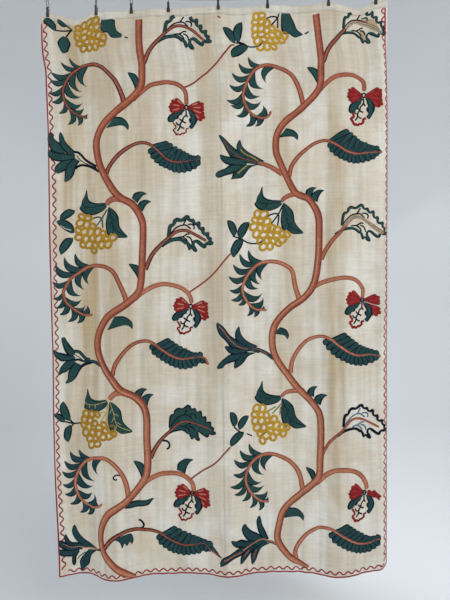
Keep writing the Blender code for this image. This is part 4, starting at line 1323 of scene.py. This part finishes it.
def stitchBorder():
    work = startWork("border")
    wide, long, inset = drape["width"] * 1000, drape["length"] * 1000, border["inset"]
    top = drape["heading"] * 1000 + border["below"]
    down = np.linspace(top, long - inset, border["points"])
    across = np.linspace(inset, wide - inset, border["points"])
    left, right, hem = (np.stack(np.broadcast_arrays(*line), axis=1) for line in (
        (inset, down), (wide - border["rightInset"], down), (across, long - inset)))
    for line, shades in ((left, ["edging", "red"]), (right, ["rose", "edging"]), (hem, ["edging", "rose"])):
        layStem(work, line, border["line"], shades, lift=0.1, rawLine=True)
    for edge in ("left", "right", "hem"):
        pitch, near, far, shade = border[edge]
        start, end = (border["hemFrom"], wide) if edge == "hem" else (top, long)
        along = np.arange(start, end - border["stopsShort"], border["step"])
        wave = (near + far) / 2 + (far - near) / 2 * np.sin(2 * np.pi * along / pitch)
        if edge in border["drift"]:
            wave = wave + np.interp(along, *zip(*border["drift"][edge]))
        points = {"left": (wave, along), "right": (wide - wave, along), "hem": (along, long - wave)}[edge]
        layStem(work, np.stack(points, axis=1), border["thread"], [shade, shade], lift=-0.1, height=0.8,
                rawLine=True)
    return finishWork(work)


worked = []
for side in ("left", "right"):
    worked += [stitchStems(side), stitchLeaves(side), stitchFlowers(side)]
worked.append(stitchBorder())
print("wool work laid")

# The cloth itself: each width is a fine grid laid on the hung shape and thickened
clothGrid = {"cell": 0.007, "tuck": 0.0001, "tuckReach": 0.004}  # the cloth dips a little along the seam


def weave(name, fromU, toU, fromV, toV, material, tuckAt=()):
    columns = max(2, round((toU - fromU) / clothGrid["cell"]))
    rows = max(2, round((toV - fromV) / clothGrid["cell"]))
    bpy.ops.object.select_all(action="DESELECT")
    bpy.ops.mesh.primitive_grid_add(x_subdivisions=columns, y_subdivisions=rows, size=1.0)
    sheet = bpy.context.active_object
    sheet.name = sheet.data.name = name
    mesh = sheet.data
    points = np.zeros(len(mesh.vertices) * 3)
    mesh.vertices.foreach_get("co", points)
    points = points.reshape(-1, 3)
    u = fromU + (toU - fromU) * (points[:, 0] + 0.5)
    v = fromV + (toV - fromV) * (0.5 - points[:, 1])
    flat = np.stack([u, v], axis=1)
    tuck = np.zeros(len(u))
    for place in tuckAt:
        tuck -= clothGrid["tuck"] * np.exp(-((u - place) / clothGrid["tuckReach"]) ** 2)
    mesh.vertices.foreach_set("co", onCloth(flat * 1000, tuck * 1000).reshape(-1))
    loops = np.zeros(len(mesh.loops), np.int32)
    mesh.loops.foreach_get("vertex_index", loops)
    while mesh.uv_layers:
        mesh.uv_layers.remove(mesh.uv_layers[0])
    mesh.uv_layers.new(name="clothLaidFlat").data.foreach_set("uv", flat[loops].reshape(-1))
    mesh.update()
    thicken = sheet.modifiers.new("thickness", "SOLIDIFY")
    thicken.thickness = drape["thickness"]
    thicken.offset = 0.0
    bpy.ops.object.modifier_apply(modifier=thicken.name)
    mesh = sheet.data
    mesh.materials.clear()
    mesh.materials.append(material)
    mesh.shade_smooth()
    return sheet


# Cotton and linen twill: dull and slubby, with long tan marks where old folds lay, by their place across it
clothLook = {
    "ground": "#E4DAC8", "pale": "#EFECE2", "stain": "#C0A982", "heading": "#DED6C6",
    # tan marks: metres from the left edge, and how strong
    "leftMarks": [(0.00, 0.15), (0.04, 0.30), (0.06, 0.65), (0.19, 0.72), (0.24, 0.50), (0.33, 0.45),
                  (0.40, 0.20), (0.50, 0.15), (0.54, 0.42), (0.60, 0.45)],
    "rightMarks": [(0.60, 0.25), (0.63, 0.15), (0.68, 0.00), (0.77, 0.03), (0.81, 0.42), (0.86, 0.30),
                   (0.90, 0.05), (0.95, 0.15), (0.98, 0.74), (1.01, 0.70), (1.05, 0.08), (1.187, 0.00)],
    "headingMarks": [(0.0, 0.2), (0.5, 0.3), (0.7, 0.15), (1.187, 0.2)],
    "marksFade": (1.15, 1.75), "hemMarks": 0.45,  # m down, and what is left of the marks there
    "wander": 0.04,  # m, the whole way that the streaks move the marks
    # strength and height in m of threads, creases and pleats
    "bumps": ((0.35, 0.0004), (0.5, 0.0016), (0.6, 0.006)),
    "roughness": 0.9, "sheen": 0.15, "shine": 0.2,
}


def clothMaterial(name, ground, marks, strength):
    material, tree, shader = startMaterial(name)
    laid = addNode(tree, "ShaderNodeUVMap", uv_map="clothLaidFlat")
    flat = laid.outputs["UV"]
    apart = addNode(tree, "ShaderNodeSeparateXYZ", links={0: flat})
    # streaks 70 mm across and ten times as long move the marks to and fro by 20 mm
    long = addNode(tree, "ShaderNodeMapping", {"Scale": (15.0, 1.5, 1.0)}, {"Vector": flat})
    streak = addNode(tree, "ShaderNodeTexNoise", {"Scale": 1.0, "Detail": 3.0, "Roughness": 0.55},
                     {"Vector": long.outputs[0]})
    wander = addNode(tree, "ShaderNodeMath", {1: clothLook["wander"]},
                     {0: streak.outputs["Fac"], 2: apart.outputs["X"]}, operation="MULTIPLY_ADD")
    reach = drape["width"] + clothLook["wander"]
    share = addNode(tree, "ShaderNodeMath", {1: 1.0 / reach}, {0: wander.outputs[0]}, operation="MULTIPLY")
    stops = [((place + clothLook["wander"] / 2) / reach, (amount,) * 3 + (1.0,)) for place, amount in marks]
    folds = setRamp(addNode(tree, "ShaderNodeValToRGB", links={"Fac": share.outputs[0]}), stops)
    sharper = addNode(tree, "ShaderNodeMapRange", {"From Min": 0.32, "From Max": 0.68},
                      {"Value": streak.outputs["Fac"]}, interpolation_type="SMOOTHSTEP")
    # the marks are strong in the upper part and fade towards the hem
    fadeFrom, fadeTo = clothLook["marksFade"]
    weak = strength * clothLook["hemMarks"]
    fade = addNode(tree, "ShaderNodeMapRange",
                   {"From Min": fadeFrom, "From Max": fadeTo, "To Min": strength, "To Max": weak},
                   {"Value": apart.outputs["Y"]}, interpolation_type="SMOOTHSTEP")
    mark = addNode(tree, "ShaderNodeMath", links={0: folds.outputs["Color"], 1: sharper.outputs[0]},
                   operation="MULTIPLY")
    half = addNode(tree, "ShaderNodeMath", {1: 0.35}, {0: folds.outputs["Color"], 2: mark.outputs[0]},
                   operation="MULTIPLY_ADD")
    amount = addNode(tree, "ShaderNodeMath", links={0: half.outputs[0], 1: fade.outputs[0]},
                     operation="MULTIPLY", use_clamp=True)
    # pale and dull patches 120 mm across
    blotch = addNode(tree, "ShaderNodeTexNoise", {"Scale": 7.0, "Detail": 4.0, "Roughness": 0.6},
                     {"Vector": flat})
    pale = addNode(tree, "ShaderNodeMapRange", {"From Min": 0.40, "From Max": 0.64},
                   {"Value": blotch.outputs["Fac"]}, interpolation_type="SMOOTHSTEP")
    base = addNode(tree, "ShaderNodeMix", {6: linear(ground), 7: linear(clothLook["pale"])},
                   {0: pale.outputs[0]}, data_type="RGBA")
    stained = addNode(tree, "ShaderNodeMix", {7: linear(clothLook["stain"])},
                      {0: amount.outputs[0], 6: base.outputs[2]}, data_type="RGBA")
    # threads are 0.5 mm; slubs are drawn 2 mm by 16 mm, both ways, so that the weave shows
    weft = addNode(tree, "ShaderNodeMapping", {"Scale": (60.0, 520.0, 1.0)}, {"Vector": flat})
    weftNoise = addNode(tree, "ShaderNodeTexNoise", {"Scale": 1.0, "Detail": 2.0, "Roughness": 0.6},
                        {"Vector": weft.outputs[0]})
    warp = addNode(tree, "ShaderNodeMapping", {"Scale": (520.0, 45.0, 1.0)}, {"Vector": flat})
    warpNoise = addNode(tree, "ShaderNodeTexNoise", {"Scale": 1.0, "Detail": 2.0, "Roughness": 0.6},
                        {"Vector": warp.outputs[0]})
    slubs = addNode(tree, "ShaderNodeMath", links={0: weftNoise.outputs["Fac"], 1: warpNoise.outputs["Fac"]},
                    operation="ADD")
    # 0.8 mm twill drawn at 2.2 mm, slanting
    turned = addNode(tree, "ShaderNodeMapping", {"Rotation": (0, 0, math.radians(35))}, {"Vector": flat})
    twill = addNode(tree, "ShaderNodeTexWave", {"Scale": 145.0, "Distortion": 1.5, "Detail": 1.0},
                    {"Vector": turned.outputs[0]})
    relief = addNode(tree, "ShaderNodeMath", {1: 0.35}, {0: twill.outputs["Fac"], 2: slubs.outputs[0]},
                     operation="MULTIPLY_ADD")
    # fine creases that lie across the cloth, 7 mm apart and 80 mm long, with painted shade and highlight
    # along them
    crease = addNode(tree, "ShaderNodeMapping", {"Scale": (12.0, 140.0, 1.0)}, {"Vector": flat})
    creases = addNode(tree, "ShaderNodeTexNoise", {"Scale": 1.0, "Detail": 2.0},
                      {"Vector": crease.outputs[0]})
    tone = addNode(tree, "ShaderNodeMapRange",
                   {"From Min": 0.6, "From Max": 1.4, "To Min": 0.91, "To Max": 1.05},
                   {"Value": slubs.outputs[0]})
    # painted shade and highlight: the colour follows the creases' relief
    paintedCreaseShade = addNode(tree, "ShaderNodeMapRange",
                      {"From Min": 0.35, "From Max": 0.65, "To Min": 0.95, "To Max": 1.03},
                      {"Value": creases.outputs["Fac"]})
    # soft upright pleats, 20 mm apart and 400 mm long, with painted shade in their hollows
    upright = addNode(tree, "ShaderNodeMapping", {"Scale": (48.0, 2.4, 1.0)}, {"Vector": flat})
    pleats = addNode(tree, "ShaderNodeTexNoise", {"Scale": 1.0, "Detail": 2.0, "Roughness": 0.5},
                     {"Vector": upright.outputs[0]})
    paintedPleatShade = addNode(tree, "ShaderNodeMapRange",
                     {"From Min": 0.32, "From Max": 0.60, "To Min": 0.88, "To Max": 1.0},
                     {"Value": pleats.outputs["Fac"]}, interpolation_type="SMOOTHSTEP")
    ways = addNode(tree, "ShaderNodeMath", links={0: tone.outputs[0], 1: paintedCreaseShade.outputs[0]},
                   operation="MULTIPLY")
    # the first half metre is made a little darker
    darkerTop = addNode(tree, "ShaderNodeMapRange",
                   {"From Min": 0.05, "From Max": 0.60, "To Min": 0.91, "To Max": 1.0},
                   {"Value": apart.outputs["Y"]}, interpolation_type="SMOOTHSTEP")
    pleatShadeAndDarkerTop = addNode(tree, "ShaderNodeMath", links={0: paintedPleatShade.outputs[0], 1: darkerTop.outputs[0]},
                    operation="MULTIPLY")
    both = addNode(tree, "ShaderNodeMath", links={0: ways.outputs[0], 1: pleatShadeAndDarkerTop.outputs[0]},
                   operation="MULTIPLY")
    toned = addNode(tree, "ShaderNodeMix", {0: 1.0}, {6: stained.outputs[2], 7: both.outputs[0]},
                    data_type="RGBA", blend_type="MULTIPLY")
    tree.links.new(toned.outputs[2], shader.inputs["Base Color"])
    links = {}
    forms = (relief.outputs[0], creases.outputs["Fac"], pleats.outputs["Fac"])
    for form, (strong, deep) in zip(forms, clothLook["bumps"]):
        links["Height"] = form
        bump = addNode(tree, "ShaderNodeBump", {"Strength": strong, "Distance": deep}, links)
        links["Normal"] = bump.outputs[0]
    tree.links.new(bump.outputs[0], shader.inputs["Normal"])
    shader.inputs["Roughness"].default_value = clothLook["roughness"]
    shader.inputs["Sheen Weight"].default_value = clothLook["sheen"]
    shader.inputs["Specular IOR Level"].default_value = clothLook["shine"]
    return material


leftTwill = clothMaterial("unbleachedTwillLeft", clothLook["ground"], clothLook["leftMarks"], 1.0)
rightTwill = clothMaterial("unbleachedTwillRight", clothLook["ground"], clothLook["rightMarks"], 1.0)
headingLinen = clothMaterial("headingLinen", clothLook["heading"], clothLook["headingMarks"], 0.6)

seam, gap = drape["seam"], drape["gap"]
clothTop = drape["heading"] + gap
clothLeft = weave("clothLeft", 0.0, seam - gap / 2, clothTop, drape["length"], leftTwill, (seam,))
clothRight = weave("clothRight", seam + gap / 2, drape["width"], clothTop, drape["length"], rightTwill,
                   (seam,))
headingBand = weave("headingBand", 0.0, drape["width"], 0.0, drape["heading"], headingLinen)
for piece, node in ((clothLeft, "left_width"), (clothRight, "right_width"), (headingBand, "heading_band")):
    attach(piece, "root")
    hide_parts(node)
print("cloth woven")

# Black enamelled steel of the clips and rings: a hard dark gloss, dulled and dusty where it is handled
enamel = {
    "colour": "#0A0A0B", "worn": "#1B1B1D", "roughness": (0.42, 0.65),
    "coat": 0.4, "coatRoughness": 0.25,
}


def enamelMaterial():
    material, tree, shader = startMaterial("blackEnamelledSteel")
    place = addNode(tree, "ShaderNodeTexCoord")
    speck = addNode(tree, "ShaderNodeTexNoise", {"Scale": 900.0, "Detail": 3.0},
                    {"Vector": place.outputs["Object"]})
    colour = setRamp(addNode(tree, "ShaderNodeValToRGB", links={"Fac": speck.outputs["Fac"]}),
                     [(0.45, enamel["colour"]), (0.75, enamel["worn"])])
    smoothest, dullest = enamel["roughness"]
    rough = addNode(tree, "ShaderNodeMapRange",
                    {"From Min": 0.3, "From Max": 0.7, "To Min": smoothest, "To Max": dullest},
                    {"Value": speck.outputs["Fac"]})
    tree.links.new(colour.outputs["Color"], shader.inputs["Base Color"])
    tree.links.new(rough.outputs[0], shader.inputs["Roughness"])
    bump = addNode(tree, "ShaderNodeBump", {"Strength": 0.15, "Distance": 0.0002},
                   {"Height": speck.outputs["Fac"]})
    tree.links.new(bump.outputs[0], shader.inputs["Normal"])
    shader.inputs["Coat Weight"].default_value = enamel["coat"]
    shader.inputs["Coat Roughness"].default_value = enamel["coatRoughness"]
    return material


blackEnamel = enamelMaterial()
for name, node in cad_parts.items():
    if name.startswith(("clip_", "ring_")):
        for slot in node.material_slots:
            slot.material = blackEnamel
print("clips and rings finished")

# A pale sweep all round, and large soft lights
studio = {
    "floor": -2.25, "radius": 4.6, "cove": 1.2, "height": 5.2, "around": 64, "coveSteps": 8,
    "colour": "#E2E5E8", "duller": 0.96, "roughness": 0.9,
    "world": "#E2E5E8", "worldStrength": 0.50,
    "lights": (
        ("keyLight", (2.9, -3.3, 0.9), (0.1, 0.0, -1.0), 3.0, 139.0, "#FFF9F0"),
        ("fillLight", (-3.0, -2.8, 0.2), (0.0, 0.0, -1.0), 3.0, 45.0, "#E8F0FA"),
        ("backLight", (0.5, 3.4, 1.4), (0.0, 0.0, -0.8), 3.0, 40.0, "#FFFFFF"),
        ("wallLight", (0.5, 0.5, -0.5), (3.0, 4.2, -1.1), 3.0, 26.0, "#EAF2FA"),
    ),
}


def sweepMaterial():
    material, tree, shader = startMaterial("paleStudioPaint")
    place = addNode(tree, "ShaderNodeTexCoord")
    cloud = addNode(tree, "ShaderNodeTexNoise", {"Scale": 0.5, "Detail": 1.0},
                    {"Vector": place.outputs["Object"]})
    base = linear(studio["colour"])
    duller = tuple(c * studio["duller"] for c in base[:3]) + (1.0,)
    near = setRamp(addNode(tree, "ShaderNodeValToRGB", links={"Fac": cloud.outputs["Fac"]}),
                   [(0.3, base), (0.7, duller)])
    tree.links.new(near.outputs["Color"], shader.inputs["Base Color"])
    shader.inputs["Roughness"].default_value = studio["roughness"]
    return material


def addStudio():
    floor, cove, flat = studio["floor"], studio["cove"], studio["radius"] - studio["cove"]
    around, steps = studio["around"], studio["coveSteps"]
    profile = [(flat, floor)]
    for number in range(1, steps + 1):
        angle = math.radians(90 * number / steps)
        profile.append((flat + cove * math.sin(angle), floor + cove * (1 - math.cos(angle))))
    profile.append((studio["radius"], floor + studio["height"]))
    corners = [(math.cos(math.tau * k / around), math.sin(math.tau * k / around)) for k in range(around)]
    points = [(0.0, 0.0, floor)]
    for radius, height in profile:
        points += [(radius * x, radius * y, height) for x, y in corners]
    faces = [(0, 1 + k, 1 + (k + 1) % around) for k in range(around)]
    for first in range(1, 1 + around * (len(profile) - 1), around):
        for k in range(around):
            after = (k + 1) % around
            faces.append((first + k, first + around + k, first + around + after, first + after))
    mesh = bpy.data.meshes.new("studioSweep")
    mesh.from_pydata(points, [], faces)
    mesh.materials.append(sweepMaterial())
    mesh.shade_smooth()
    sweep = bpy.data.objects.new("studioSweep", mesh)
    bpy.context.scene.collection.objects.link(sweep)
    world = bpy.data.worlds.new("softSky")
    world.use_nodes = True
    world.node_tree.nodes["Background"].inputs["Color"].default_value = linear(studio["world"])
    world.node_tree.nodes["Background"].inputs["Strength"].default_value = studio["worldStrength"]
    bpy.context.scene.world = world
    for name, place, target, size, power, colour in studio["lights"]:
        data = bpy.data.lights.new(name, "AREA")
        data.shape = "SQUARE"
        data.size = size
        data.energy = power
        data.color = linear(colour)[:3]
        lamp = bpy.data.objects.new(name, data)
        lamp.location = place
        lamp.visible_camera = False
        lamp.rotation_euler = (Vector(target) - Vector(place)).to_track_quat("-Z", "Y").to_euler()
        bpy.context.scene.collection.objects.link(lamp)


addStudio()
bpy.context.scene.view_settings.view_transform = "Standard"
print("studio lit")
